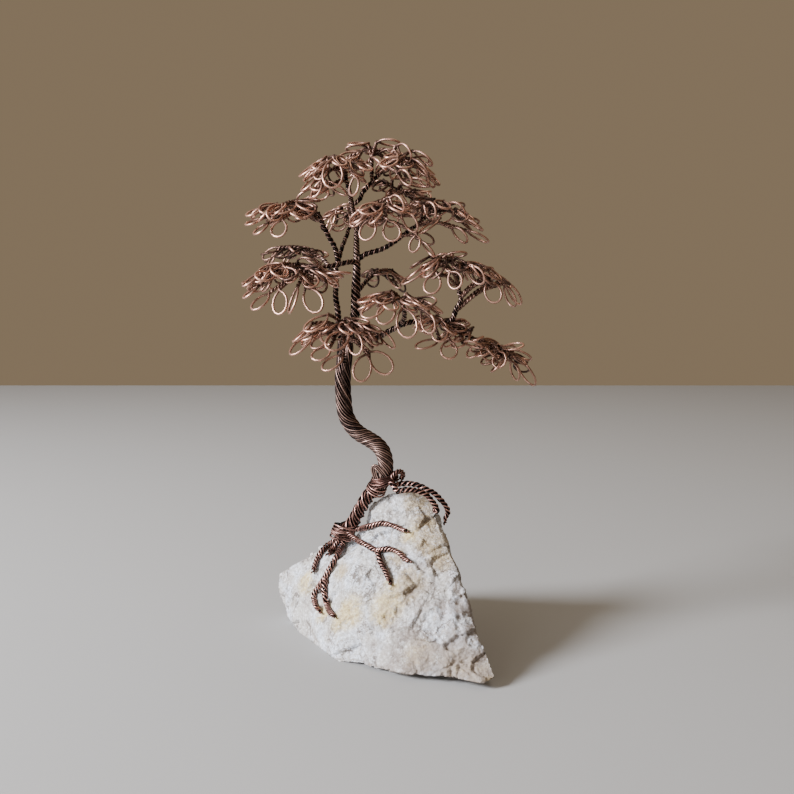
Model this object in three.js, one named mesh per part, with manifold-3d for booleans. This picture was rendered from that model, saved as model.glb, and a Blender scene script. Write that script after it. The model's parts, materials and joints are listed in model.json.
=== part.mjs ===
// A small tree twisted from antiqued copper wire and bound to a white rock, which is its plinth.
// Millimetres, +Z up. The origin lies on the rock's flat underside, straight under the trunk's foot,
// and the photograph looks along +Y.
import * as THREE from 'three';
import { ConvexGeometry } from 'three/addons/geometries/ConvexGeometry.js';
import { TessellateModifier } from 'three/addons/modifiers/TessellateModifier.js';
import { ImprovedNoise } from 'three/addons/math/ImprovedNoise.js';
import { mergeVertices } from 'three/addons/utils/BufferGeometryUtils.js';
import Module from 'manifold-3d';

// Driving dimensions
const WIRE = 0.51; // thickness of one wire
const GAP = 0.3; // clear space between neighbouring pieces
const ROCK_WIDTH = 55;
const ROCK_DEPTH = 61;
const ROCK_HEIGHT = 38;
const ROCK_GRAIN = 8.5; // longest edge of a facet on the rock
const ROCK_ROUGHNESS = 1.1; // how far the rock's faces swell and sink
const ROCK_SWELL = 11; // distance from one swelling to the next
const KNOT_DISH = 5; // depth of the hollow that the lower knot sits in
const KNOT_DISH_RADIUS = 10;
const TREE_HEIGHT = 91; // from the rock's top to the highest leaf
const TRUNK = 4.3; // thickness of the twisted trunk
const TRUNK_FOOT = 3.1; // thickness of the bundle where it ends in the lower knot
const TRUNK_TURN = 23; // length of one full turn of the trunk's strands
const TRUNK_FLUTES = 8;
const LEADER = 2.3; // thickness at the fork
const LEADER_TIP = 1.1;
const LIMB = 2;
const LIMB_TIP = 1.5;
const TWIG = 0.62;
const ROOT = 1.6; // thickness of a root cord
const ROOT_TIP = 1.1;
const WRAP = 1; // thickness of the cord that is wound round the foot
const COLLAR_START = 17.8; // from the foot of the trunk's line to the collar
const COLLAR_ADVANCE = 3.2;
const LEAF_LENGTH = 6; // from the twig's middle to the leaf's tip
const LEAF_WIDTH = 4.6;
const FUSE_SLACK = 0.12; // smallest detail that is kept where wires cross

const COPPER = { color: 0x7a4c3d, roughness: 0.42, metalness: 1 };
const STONE = { color: 0xd9d6d0, roughness: 0.85, metalness: 0 };

const wasm = await Module();
wasm.setup();

// Small helpers for points: a point of the rock in shares of its width, depth and height, and a
// point of the tree in hundredths of its height, measured from the rock's top.
const onRock = ([x, y, z]) => new THREE.Vector3(x * ROCK_WIDTH, y * ROCK_DEPTH, z * ROCK_HEIGHT);
const onTree = ([x, y, z]) => new THREE.Vector3(x, y, z)
  .multiplyScalar(TREE_HEIGHT / 100)
  .add(new THREE.Vector3(0, 0, ROCK_HEIGHT));
const UP = new THREE.Vector3(0, 0, 1);
const radians = THREE.MathUtils.degToRad;

// A number from 0 to 1 that looks random but is always the same for the same two numbers.
function chance(a, b) {
  const s = Math.sin(a * 12.9898 + b * 78.233) * 43758.5453;
  return s - Math.floor(s);
}

// Builds a closed geometry from rings of points, all with the same count. Neighbouring rings are
// joined by two triangles a side, and the first and the last ring get a flat cap, which is one
// triangle for a ring of three.
function skin(rings) {
  const sides = rings[0].length;
  const vertices = rings.flat();
  const faces = [];
  for (let a = 0; a < (rings.length - 1) * sides; a += sides) {
    const b = a + sides;
    for (let k = 0; k < sides; k++) {
      const n = (k + 1) % sides;
      faces.push(a + k, a + n, b + n, a + k, b + n, b + k);
    }
  }
  if (sides === 3) faces.push(2, 1, 0, vertices.length - 3, vertices.length - 2, vertices.length - 1);
  else for (const ring of [0, rings.length - 1]) {
    const middle = new THREE.Vector3();
    rings[ring].forEach((point) => middle.addScaledVector(point, 1 / sides));
    const centre = vertices.push(middle) - 1;
    for (let k = 0; k < sides; k++) {
      const edge = [ring * sides + k, ring * sides + ((k + 1) % sides)];
      faces.push(centre, ...(ring === 0 ? edge.reverse() : edge));
    }
  }
  const geometry = new THREE.BufferGeometry().setFromPoints(vertices);
  geometry.setIndex(faces);
  return geometry;
}

// Points along a smooth curve through the given ones, evenly spaced about `step` apart.
function along(points, step) {
  const curve = new THREE.CatmullRomCurve3(points, false, 'centripetal');
  const count = Math.max(1, Math.round(curve.getLength() / step));
  return curve.getSpacedPoints(count);
}

// A rod along a row of points. `thickness` gives its diameter at a share of its length, `flutes`
// cuts that many hollows round it, and they turn once in `turn` millimetres, falling to the right.
function rod(points, thickness, { sides = 6, flutes = 0, turn = Infinity } = {}) {
  const count = flutes ? flutes * 2 : sides;
  const side = new THREE.Vector3();
  const rings = [];
  let travelled = 0;
  points.forEach((point, i) => {
    const before = points[Math.max(0, i - 1)];
    const after = points[Math.min(points.length - 1, i + 1)];
    const tangent = after.clone().sub(before).normalize();
    if (i === 0) side.crossVectors(tangent, Math.abs(tangent.y) < 0.8 ? new THREE.Vector3(0, 1, 0) : UP);
    side.addScaledVector(tangent, -side.dot(tangent)).normalize();
    const across = new THREE.Vector3().crossVectors(tangent, side);
    travelled += point.distanceTo(before);
    const radius = thickness(i / (points.length - 1)) / 2;
    rings.push(Array.from({ length: count }, (_, k) => {
      const angle = (k / count - travelled / turn) * 2 * Math.PI;
      const reach = flutes && k % 2 ? radius - WIRE / 3 : radius;
      return point.clone()
        .addScaledVector(side, Math.cos(angle) * reach)
        .addScaledVector(across, Math.sin(angle) * reach);
    }));
  });
  return skin(rings);
}

// Joins closed geometries that cross each other into one body, smooths away facets smaller than the
// slack, and drops the small hollows that crossing wires can shut in.
function fuse(geometries) {
  const solids = geometries.map((geometry) => new wasm.Manifold(new wasm.Mesh({
    numProp: 3,
    vertProperties: new Float32Array(geometry.attributes.position.array),
    triVerts: new Uint32Array(geometry.index.array),
  })));
  const [body] = solids.reduce((sum, next) => sum.add(next)).simplify(FUSE_SLACK).decompose()
    .sort((a, b) => b.volume() - a.volume());
  const { vertProperties, triVerts } = body.getMesh();
  const geometry = new THREE.BufferGeometry();
  geometry.setAttribute('position', new THREE.BufferAttribute(vertProperties, 3));
  geometry.setIndex(new THREE.BufferAttribute(triVerts, 1));
  return geometry;
}

const sculpture = new THREE.Group();
function add(name, geometry, finish) {
  geometry.computeVertexNormals();
  const mesh = new THREE.Mesh(geometry, new THREE.MeshStandardMaterial(finish));
  mesh.name = name;
  sculpture.add(mesh);
  return mesh;
}

// The rock: the hull of its corners, cut into small facets that swell and sink a little. Its
// underside stays flat, and its right-hand toe overhangs the table.
const rockCorners = [
  [0.06, 0, 1], [0.19, -0.015, 0.985], [0.225, -0.03, 0.905], [0.08, 0.1, 0.93], [0.16, 0.09, 0.86],
  [-0.02, 0.02, 0.95], [-0.28, 0.085, 0.63], [-0.43, 0.13, 0.45], [-0.55, 0.2, 0.31], [-0.56, 0.2, 0.21],
  [-0.53, 0.2, 0.05], [-0.52, 0.19, 0], [-0.44, -0.02, 0], [-0.34, -0.18, 0], [-0.44, 0.31, 0],
  [-0.4, 0.3, 0.26], [0, 0.33, 0.38], [0.09, 0.34, 0], [0.2, 0.2, 0.47], [0.26, 0.2, 0.26],
  [0.31, 0.13, 0], [0.265, -0.16, 0.645], [0.33, -0.33, 0.4], [0.4, -0.52, 0.16], [0.46, -0.63, 0.065],
  [0.4, -0.66, 0.04], [0.25, -0.3, 0], [0.09, -0.56, 0.04], [-0.055, -0.45, 0.02], [-0.22, -0.37, 0],
  [-0.22, -0.2, 0.4],
];
const knotSeat = [-0.2, 0.06, 0.7];

function rockGeometry() {
  const hull = new ConvexGeometry(rockCorners.map(onRock));
  hull.deleteAttribute('normal');
  const facets = new TessellateModifier(ROCK_GRAIN, 12).modify(hull);
  const geometry = mergeVertices(facets, 0.01);
  geometry.computeVertexNormals();
  const noise = new ImprovedNoise();
  const { position, normal } = geometry.attributes;
  const seat = onRock(knotSeat);
  const point = new THREE.Vector3();
  const outward = new THREE.Vector3();
  for (let i = 0; i < position.count; i++) {
    point.fromBufferAttribute(position, i);
    if (point.z < 0.01) continue;
    outward.fromBufferAttribute(normal, i);
    const { x, y, z } = point.clone().divideScalar(ROCK_SWELL);
    const swell = noise.noise(x, y, z) + 0.5 * noise.noise(2 * x + 7, 2 * y, 2 * z);
    const nearSeat = Math.max(0, 1 - point.distanceToSquared(seat) / KNOT_DISH_RADIUS ** 2);
    point.addScaledVector(outward, ROCK_ROUGHNESS * swell - KNOT_DISH * nearSeat ** 2);
    point.z = Math.max(point.z, 0);
    position.setXYZ(i, point.x, point.y, point.z);
  }
  return geometry;
}
const rock = add('rock', rockGeometry(), STONE);

const rockFacets = [];
for (let i = 0; i < rock.geometry.index.count; i += 3) {
  const corners = [0, 1, 2].map((k) => new THREE.Vector3()
    .fromBufferAttribute(rock.geometry.attributes.position, rock.geometry.index.getX(i + k)));
  rockFacets.push(new THREE.Triangle(...corners));
}

// The distance from a point to the rock's surface.
function distanceToRock(point) {
  const nearest = new THREE.Vector3();
  let least = Infinity;
  for (const facet of rockFacets) {
    facet.closestPointToPoint(point, nearest);
    least = Math.min(least, nearest.distanceTo(point));
  }
  return least;
}

// Lets a ball come down on the rock against the direction `outward`, through `target`, until only
// the gap is left between them, and returns its middle.
function restOnRock(target, outward, radius) {
  const direction = new THREE.Vector3(...outward).normalize();
  const ball = target.clone().addScaledVector(direction, ROCK_DEPTH);
  for (let i = 0; i < 60; i++) {
    ball.addScaledVector(direction, radius + GAP - distanceToRock(ball));
  }
  return ball;
}

// The trunk: one twisted bundle that starts in the lower knot, climbs the rock's ridge, leaves its
// top and swings left in an S up to the fork.
const RIDGE_OUT = [-0.62, -0.25, 0.75];
const footOnRock = [
  [[-0.243, 0.06, 0.667], TRUNK_FOOT / 2 + WRAP],
  [[-0.18, 0.05, 0.76], TRUNK_FOOT / 2 + WRAP],
  [[-0.12, 0.035, 0.84], TRUNK_FOOT / 2 + WRAP / 2],
  [[-0.07, 0.02, 0.92], TRUNK_FOOT / 2 + WRAP],
].map(([point, radius]) => restOnRock(onRock(point), RIDGE_OUT, radius));
const trunkFoot = [-1, -0.6, 5];
const trunkPoints = [
  ...footOnRock,
  ...[[-2, 0, 2.2], trunkFoot, [-0.6, -1, 8.2], [-1.5, -1, 11.8], [-3.4, -0.5, 14], [-6, 0, 15.6],
    [-8.7, 0.5, 17.2], [-11, 1, 19.8], [-12.3, 1, 22.8], [-12.8, 1, 27], [-13, 1, 31], [-12.9, 1, 35],
    [-12.4, 1, 39]].map(onTree),
];
const trunkThickness = (share) => THREE.MathUtils.lerp(TRUNK_FOOT, TRUNK, Math.min(1, share * 2));
const trunkLine = along(trunkPoints, 3);
add('trunk', rod(trunkLine, trunkThickness, { flutes: TRUNK_FLUTES, turn: TRUNK_TURN }), COPPER);

// A cord wound round a line in `turns` turns that move `advance` along it, starting at `start` from
// the line's first point. `clear` is the distance from the line to the cord's middle.
function wound(line, { start, advance, turns, clear, thickness, from = 0 }) {
  const curve = new THREE.CatmullRomCurve3(line, false, 'centripetal');
  const length = curve.getLength();
  const steps = Math.round(turns * 8);
  const side = new THREE.Vector3(0, 1, 0);
  const points = [];
  for (let i = 0; i <= steps; i++) {
    const share = THREE.MathUtils.clamp((start + (advance * i) / steps) / length, 0, 1);
    const centre = curve.getPointAt(share);
    const tangent = curve.getTangentAt(share);
    side.addScaledVector(tangent, -side.dot(tangent)).normalize();
    const across = new THREE.Vector3().crossVectors(tangent, side);
    const angle = ((turns * i) / steps) * 2 * Math.PI + radians(from);
    points.push(centre.addScaledVector(side, Math.cos(angle) * clear)
      .addScaledVector(across, Math.sin(angle) * clear));
  }
  return rod(points, () => thickness, { sides: 4 });
}
const FACET_SLACK = 0.3; // how far a flat-sided ring of eight steps cuts inside its circle
const footClear = TRUNK_FOOT / 2 + WRAP / 2 + GAP + FACET_SLACK;
add('knot_wrap', wound(trunkLine, {
  start: 0.3, advance: 2.8, turns: 2.2, clear: footClear, thickness: WRAP, from: 200,
}), COPPER);
add('collar_wrap', wound(trunkLine, {
  start: COLLAR_START, advance: COLLAR_ADVANCE, turns: 3, clear: footClear + GAP, thickness: WRAP, from: 150,
}), COPPER);
// Two folded ends of the cord stand up out of the collar, and go where it goes. Each is a row of
// millimetres from the collar's middle.
const trunkCurve = new THREE.CatmullRomCurve3(trunkLine, false, 'centripetal');
const collarMiddle = trunkCurve.getPointAt((COLLAR_START + COLLAR_ADVANCE / 2) / trunkCurve.getLength());
const foldedEnds = {
  cord_end_left: [
    [-2.42, -1.41, 2.42], [-2.51, -1.59, 3.51], [-2.05, -2.13, 4.6], [-1.42, -2.86, 3.69], [-1.42, -3.41, 2.24],
  ],
  cord_end_right: [
    [4.23, -2.13, 2.42], [4.41, -1.95, 3.6], [5.32, -1.68, 4.42], [6.14, -1.32, 3.6], [6.14, -1.13, 2.6],
  ],
};
for (const [name, points] of Object.entries(foldedEnds)) {
  const line = points.map((point) => new THREE.Vector3(...point).add(collarMiddle));
  add(name, rod(line, () => WRAP, { sides: 5 }), COPPER);
}

// The roots: twisted cords that leave the lower knot and lie on the rock. Each is a row of points in
// shares of the rock's width and height, as seen from the front, where a ball comes to rest.
const FRONT_OUT = [0, -0.96, 0.28];
const EDGE_SLACK = 0.2; // room for a cord's straight steps over the rock's edges
const taper = (from, to) => (share) => THREE.MathUtils.lerp(from, to, share);
function rootCord(points) {
  const laid = along(points.map(([x, z]) => onRock([x, 0, z])), 2.4)
    .map((point) => restOnRock(point, FRONT_OUT, ROOT / 2 + EDGE_SLACK));
  return rod(laid, taper(ROOT, ROOT_TIP), { sides: 5 });
}
const roots = {
  root_right_upper: [
    [[-0.14, 0.735], [-0.115, 0.74], [-0.095, 0.745], [-0.03, 0.766], [0.03, 0.745], [0.075, 0.712],
      [0.1, 0.71]],
  ],
  root_right_lower: [
    [[-0.145, 0.645], [-0.107, 0.616], [-0.055, 0.575], [0, 0.584], [0.047, 0.561], [0.082, 0.508],
      [0.11, 0.497]],
    [[-0.05, 0.575], [-0.036, 0.5], [-0.01, 0.424], [0.015, 0.337]],
  ],
  root_front: [
    [[-0.225, 0.62], [-0.244, 0.545], [-0.278, 0.45], [-0.307, 0.371], [-0.327, 0.329], [-0.355, 0.255],
      [-0.342, 0.184], [-0.313, 0.132]],
    [[-0.3, 0.39], [-0.302, 0.308], [-0.293, 0.226], [-0.278, 0.161], [-0.24, 0.118]],
  ],
  root_left: [[[-0.275, 0.64], [-0.3, 0.618], [-0.335, 0.553], [-0.355, 0.487], [-0.367, 0.416]]],
  root_stub: [[[-0.262, 0.61], [-0.28, 0.58], [-0.3, 0.537]]],
};
for (const [name, cords] of Object.entries(roots)) add(name, fuse(cords.map(rootCord)), COPPER);

// Two cords run from the collar over the rock's top to the right, and hang free past its edge.
const OVER_TOP = [0.2, -0.5, 0.84];
const freeRoots = {
  root_over_upper: [
    [0.045, -0.03, 1.08], [0.1, -0.04, 1.105], [0.153, -0.05, 1.09], [0.195, -0.06, 1.058],
    [0.218, -0.065, 1.01], [0.247, -0.065, 0.968], [0.275, -0.065, 0.918], [0.285, -0.065, 0.871],
    [0.271, -0.065, 0.829], [0.271, -0.065, 0.787],
  ],
  root_over_lower: [
    [0.045, -0.09, 1.045], [0.076, -0.092, 1.053], [0.118, -0.09, 1.06], [0.16, -0.098, 1.045],
    [0.193, -0.103, 1.01], [0.216, -0.107, 0.98], [0.236, -0.107, 0.94], [0.24, -0.105, 0.9],
  ],
};
for (const [name, points] of Object.entries(freeRoots)) {
  const out = new THREE.Vector3(...OVER_TOP).normalize();
  const line = along(points.map(onRock), 2.2).map((point) => {
    const rested = restOnRock(point, OVER_TOP, ROOT / 2);
    return rested.clone().sub(point).dot(out) > 0 ? rested : point;
  });
  add(name, rod(line, taper(ROOT, ROOT_TIP), { sides: 5 }), COPPER);
}

// The leader and the left limb stand side by side on the trunk's fork.
const leaderLine = along([[-11.1, 0.8, 39.8], [-10.6, 0.3, 46.8], [-9.3, 0, 51.6], [-9.2, 0, 55.4],
  [-9, 0, 60], [-8.8, 0, 65], [-8.9, 0.5, 71], [-9, 1.1, 77.4], [-10, 1.1, 81], [-10.5, 1.1, 84],
  [-11.2, 1.1, 87]].map(onTree), 3.4);
const leaderThickness = (share) => taper(LEADER, LEADER_TIP)(THREE.MathUtils.smoothstep(share, 0.3, 0.8));
add('leader', rod(leaderLine, leaderThickness, { flutes: 4, turn: TRUNK_TURN }), COPPER);
const limbLine = along([[-13.7, 1, 39.8], [-13.9, 0, 44], [-14, -1.1, 48], [-14.2, -1.1, 52.3],
  [-14.8, -1.1, 56.5], [-14.6, -1.1, 60], [-14.8, 0, 63.3], [-14.2, 0, 66.5]].map(onTree), 3.4);
add('left_limb', rod(limbLine, taper(LIMB, LIMB_TIP), { flutes: 4, turn: TRUNK_TURN }), COPPER);

// The boughs. Each has a stem that leaves its parent, and one or more fans of twigs round the point
// of the stem that is nearest to the fan's centre. A fan is a low dome: `reach` is its half width
// and half depth, `fall` how far its rim hangs below its centre, and `lean` its rise to the right.
// `leaves` are the leaves that stand out in the photograph, each with its foot, its tip and how
// wide it looks from the front, from 1, full, to 0, edge-on. All are in hundredths of the tree.
const boughs = {
  lower_right: {
    parent: 'leader', thickness: 1.5,
    stem: [
      [-10.9, 0.3, 44.5], [-7.5, 2.2, 43.8], [-2.9, 3.3, 44.6], [0, 2.2, 46.2], [4.8, 0, 48.6],
      [8, 0, 49.3], [14, 0, 49.1], [17.7, 0, 48.6], [23.4, 0, 44.8], [27.7, 0, 43.4], [32, 0, 42],
      [35.5, 0, 40.5],
    ],
    fans: [
      { centre: [15, 0, 51], reach: [9, 10], fall: 3.5, lean: -0.3, twigs: 3, from: 30 },
      { centre: [31, 0, 43], reach: [9, 9], fall: 3, lean: -0.4, twigs: 3, from: 40 },
    ],
    leaves: [
      [17, -6.5, 44.5, 17, -10, 39.5, 1], [14.5, -5.5, 44.5, 8, -9, 42.5, 0.4],
      [31, -4.5, 41.5, 31.5, -6.5, 37, 0.8], [34.5, 0, 41.5, 41, 1, 38.5, 0.4],
      [36.5, 0, 39.5, 42, 0, 31, 0.4], [35, -1, 38.5, 37, -2, 33, 0.4],
      [21, -5.5, 43.5, 26, -9, 43, 0.4],
    ],
  },
  front_left: {
    parent: 'trunk', thickness: 1.3,
    stem: [[-12.6, 1, 36.5], [-12.6, -4, 40], [-12.2, -10, 44.5], [-12, -15, 48]],
    fans: [{ centre: [-12, -17, 50.5], reach: [12, 10], fall: 7, lean: 0.05, twigs: 4, from: 10 }],
    leaves: [
      [-10, -21, 47.5, -15.5, -25.5, 43.5, 0.9], [-10, -20, 48, -7.5, -23, 42, 0.9],
      [-5.5, -18.5, 41.5, -7.5, -21, 34.5, 1], [-5, -17.5, 42, 1, -18.5, 36.5, 1],
      [-11.5, -23, 41.5, -16.5, -26.5, 38, 0.6], [-19.5, -22, 47, -25, -25.5, 42, 0.5],
      [-15, -23, 43.5, -19, -26.5, 40.5, 0.7], [-15.5, -22, 52, -21, -26.5, 48, 0.6],
      [-20, -18.5, 49.5, -24.5, -23, 45, 0.15], [-3, -15, 47, 2, -19, 44, 0.6],
    ],
  },
  front_right: {
    parent: 'lower_right', thickness: 1.1,
    stem: [[2.4, 1.1, 47.4], [4.5, -4, 50], [4.5, -9, 53], [3.5, -14, 56]],
    fans: [{ centre: [3.5, -17.5, 57.5], reach: [12, 9], fall: 4.5, lean: -0.12, twigs: 4, from: 35 }],
    leaves: [
      [4, -23, 54, 6, -26.5, 46.5, 1], [1.5, -23, 55.5, -1.5, -26.5, 50, 0.95],
      [-0.5, -22, 55.5, -6, -26.5, 51.5, 0.7], [1, -16.5, 58, -7.5, -21, 55.5, 0.2],
      [9, -20, 53, 12, -23, 47.5, 0.8],
    ],
  },
  middle_left: {
    parent: 'leader', thickness: 1.2,
    stem: [
      [-8.8, 0, 66], [-11.1, -3.3, 66], [-13.3, -4.4, 65.4], [-16.6, -5.5, 64.8], [-19.3, -6, 64.5],
      [-23, -8, 64.8],
    ],
    fans: [{ centre: [-26, -9.5, 65.5], reach: [13.5, 10], fall: 5, lean: 0, twigs: 4, from: 30 }],
    leaves: [
      [-22, -16.5, 59, -18, -20, 53, 1], [-29, -15.5, 58.5, -28.5, -18.5, 52.5, 0.9],
      [-32, -13, 57.5, -36, -16.5, 53.5, 0.6], [-30, -15.5, 62.5, -34.5, -20, 62, 0.6],
      [-24, -15.5, 59.5, -26, -18.5, 52.5, 0.35], [-34.5, -9, 61, -39.5, -11, 60, 0.25],
      [-35, -11, 59.5, -39, -13, 56.5, 0.25],
    ],
  },
  back_left: {
    parent: 'left_limb', thickness: 1,
    stem: [[-14.7, -0.5, 60.5], [-16.5, 4.5, 64], [-19.5, 9.5, 67.5], [-23, 13, 69.5]],
    fans: [{ centre: [-28, 15, 71], reach: [10.5, 8.5], fall: 2.5, lean: -0.05, twigs: 5, from: 0 }],
    leaves: [],
  },
  back_centre: {
    parent: 'leader', thickness: 1,
    stem: [[-9.1, 0, 57], [-6.5, 5, 60.5], [-4, 10, 63]],
    fans: [{ centre: [-2, 14.5, 64.5], reach: [8.5, 8], fall: 3, lean: 0, twigs: 4, from: 15 }],
    leaves: [],
  },
  arch: {
    parent: 'lower_right', thickness: 1.3,
    stem: [
      [17.2, 0, 48.7], [18.7, 0, 50.4], [19.3, 0, 52.5], [20.8, 0, 55.4], [20.2, 0, 58], [19.7, 0, 61],
      [19.6, 0, 65],
    ],
    fans: [{ centre: [20, 0, 67.5], reach: [15, 10], fall: 6.5, lean: -0.2, twigs: 5, from: 0 }],
    leaves: [
      [13.5, -6.5, 63, 11.5, -10, 57.5, 0.95], [17, -9, 63.5, 19.5, -11, 59, 0.85],
      [21.5, -6.5, 64.5, 26.5, -10, 61, 0.8], [28, -3.5, 61, 30.5, -5.5, 55, 1],
      [33, 0, 60, 36, 0, 53.5, 0.45], [33.5, 2, 61, 38, 3.5, 54.5, 0.4], [12, -1, 65, 4, -2, 60, 0.25],
      [15.5, -2, 67.5, 22, -3.5, 68.5, 0.3],
    ],
  },
  upper_tail: {
    parent: 'leader', thickness: 1.2,
    stem: [
      [-8.8, 0, 66.5], [-6.4, 0, 68.2], [-4.2, 0, 68.9], [-1.6, 0, 69.7], [1.4, 0, 71.4], [4, 0, 73.3],
      [7.7, 0, 76.2], [12, 0, 79.5],
    ],
    fans: [{ centre: [16, 0, 83], reach: [11.5, 9.5], fall: 3, lean: -0.4, twigs: 4, from: 20 }],
    leaves: [
      [10, -5.5, 82, 13, -9, 78.5, 0.7], [16.5, -2, 82, 21.5, -4.5, 80, 0.55],
      [17.5, -4.5, 75.5, 22, -6.5, 72, 0.5], [22, 1, 75, 28.5, 1, 72, 0.25],
      [14.5, -6.5, 78, 9, -10, 74, 0.25], [9, -4.5, 72, 13, -5.5, 68, 0.2],
    ],
  },
  upper_centre: {
    parent: 'leader', thickness: 1.1,
    stem: [[-9, 0.9, 74], [-6.5, -4, 77], [-2.5, -8.5, 80]],
    fans: [{ centre: [-1, -10, 82], reach: [10, 10], fall: 5.5, lean: 0, twigs: 4, from: 50 }],
    leaves: [
      [-1, -14.5, 81, -7, -18.5, 79, 0.7], [0.5, -13, 83, 4.5, -16.5, 80, 0.7],
      [-4, -15.5, 77.5, -6, -17.5, 71.5, 0.9], [0, -15.5, 77, 2, -17.5, 71.5, 1],
      [3.5, -13, 79, 8, -15.5, 74.5, 0.7], [8, -11, 73.5, 7, -12, 69, 0.6],
    ],
  },
  upper_left: {
    parent: 'left_limb', thickness: 1.2,
    stem: [
      [-14.2, 0, 66.5], [-15.1, 1.1, 70.3], [-16.7, 1.1, 73.1], [-18.6, 0, 77.3], [-19.9, -0.5, 80],
      [-23, -2.5, 82],
    ],
    fans: [{ centre: [-28.5, -3.5, 82.5], reach: [11, 10], fall: 4, lean: 0.1, twigs: 5, from: 25 }],
    leaves: [
      [-34, -3.5, 81, -39, -5.5, 79, 0.35], [-34.5, -6.5, 78, -38.5, -9, 76, 0.3],
      [-32.5, -9, 76.5, -36, -11, 73.5, 0.4], [-28.5, -10, 77.5, -30, -12, 73, 0.9],
      [-25, -7.5, 81, -30.5, -11, 79.5, 0.5], [-19.5, -6.5, 81, -24.5, -11, 78, 0.6],
    ],
  },
  upper_back: {
    parent: 'left_limb', thickness: 1,
    stem: [[-14.2, 0, 65.5], [-13.2, 4.4, 70.4], [-11.9, 7, 74], [-10.5, 10, 79]],
    fans: [{ centre: [-11, 13, 82], reach: [10, 9], fall: 4, lean: 0, twigs: 5, from: 0 }],
    leaves: [],
  },
  crown_left: {
    parent: 'leader', thickness: 1,
    stem: [[-11.2, 1.1, 87], [-11.8, 0, 89.5], [-12.5, -2, 91.5], [-13, -4, 93]],
    fans: [{ centre: [-14, -5.5, 95], reach: [9.5, 9.5], fall: 6, lean: 0.1, twigs: 4, from: 60 }],
    leaves: [
      [-14.5, -13, 93.5, -14.5, -16.5, 85.5, 1], [-17, -5.5, 94.5, -24, -7.5, 89.5, 0.25],
      [-18.5, -4.5, 90.5, -23.5, -6.5, 85.5, 0.35], [-18, -9, 88, -20, -11, 83.5, 0.5],
      [-7, -4.5, 96, -13.5, -6.5, 94, 0.6], [-9, -10, 89, -9, -12, 84, 0.6],
      [-15.5, -4.5, 87, -21.5, -6.5, 83.5, 0.3],
    ],
  },
  crown_right: {
    parent: 'leader', thickness: 1,
    stem: [
      [-10.2, 1.1, 82], [-8.1, 1.1, 83.4], [-7.3, 1.1, 85.1], [-5.8, 1.1, 87], [-4.4, 1.1, 88.5],
      [-1.6, 0, 91.1], [2, -1.1, 93.2],
    ],
    fans: [{ centre: [5.5, -1, 95.5], reach: [9.5, 10], fall: 5, lean: -0.2, twigs: 3, from: 10 }],
    leaves: [
      [2.5, -3.5, 98, 6.5, -6.5, 94.5, 0.6], [2.5, -9, 90, 6.5, -12, 87.5, 0.6],
      [3, -9, 94, -1.5, -12, 91.5, 0.6], [8, -3.5, 92, 11, -4.5, 87.5, 0.5],
      [10.5, 1, 92.5, 13, 1, 87, 0.3], [7, 1, 97, 12.5, -1, 93.5, 0.3],
      [5.5, -5, 88.5, 11.5, -7.5, 87, 0.3], [4, 4, 89, 12, 6, 88.5, 0.3],
    ],
  },
  crown_top: {
    parent: 'crown_right', thickness: 0.9,
    stem: [[-4.4, 1.1, 88.5], [-4.6, 2.5, 93], [-4.5, 3.5, 96.5]],
    fans: [{ centre: [-4, 4, 98.5], reach: [9, 8.5], fall: 2.5, lean: 0.05, twigs: 4, from: 45 }],
    leaves: [[-5.5, 2, 99.3, -11, 0, 99, 0.25], [-3, 1, 99.6, 3.5, 0, 99.3, 0.25]],
  },
  upper_right: {
    parent: 'leader', thickness: 0.9,
    stem: [[-8.9, 0.5, 77], [-6.5, 5, 79.5], [-2.5, 8.5, 83], [1, 9.5, 85.5]],
    fans: [{ centre: [4.5, 9.5, 87.5], reach: [9, 7.5], fall: 3, lean: -0.15, twigs: 4, from: 20 }],
    leaves: [],
  },
};

// Everything that a new leaf has to clear: points with the radius of their wire and their bough.
const taken = [];
function take(points, radius, bough) {
  for (const point of points) taken.push({ point, radius, bough });
}
function clearance(points, bough) {
  let least = Infinity;
  for (const other of taken) {
    const needed = WIRE / 2 + other.radius + (other.bough === bough ? 0 : GAP);
    for (const point of points) least = Math.min(least, point.distanceTo(other.point) - needed);
  }
  return least;
}

// A leaf is a loop of wire that starts from its foot, swings out on one side of its axis, turns at
// the tip and comes back on the other. Its width lies along the vector `across`.
const LEAF_STEPS = 5;
function leafLoop(foot, tip, across, width) {
  const reached = (1 - Math.cos((Math.PI * (LEAF_STEPS - 1)) / LEAF_STEPS)) / 2;
  const axis = tip.clone().sub(foot).divideScalar(reached);
  return Array.from({ length: LEAF_STEPS - 1 }, (_, i) => {
    const angle = ((i + 1) / LEAF_STEPS) * 2 * Math.PI;
    const bulge = Math.sin(angle) * Math.sin(angle / 2) ** 0.8 / 0.82;
    return foot.clone()
      .addScaledVector(axis, (1 - Math.cos(angle)) / 2)
      .addScaledVector(across, (bulge * width) / 2);
  });
}

// A row of points with `parts` steps between each two.
function between(line, parts) {
  return line.slice(1).flatMap((point, i) => Array.from({ length: parts }, (_, k) => line[i].clone()
    .lerp(point, (k + 1) / parts)));
}

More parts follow.
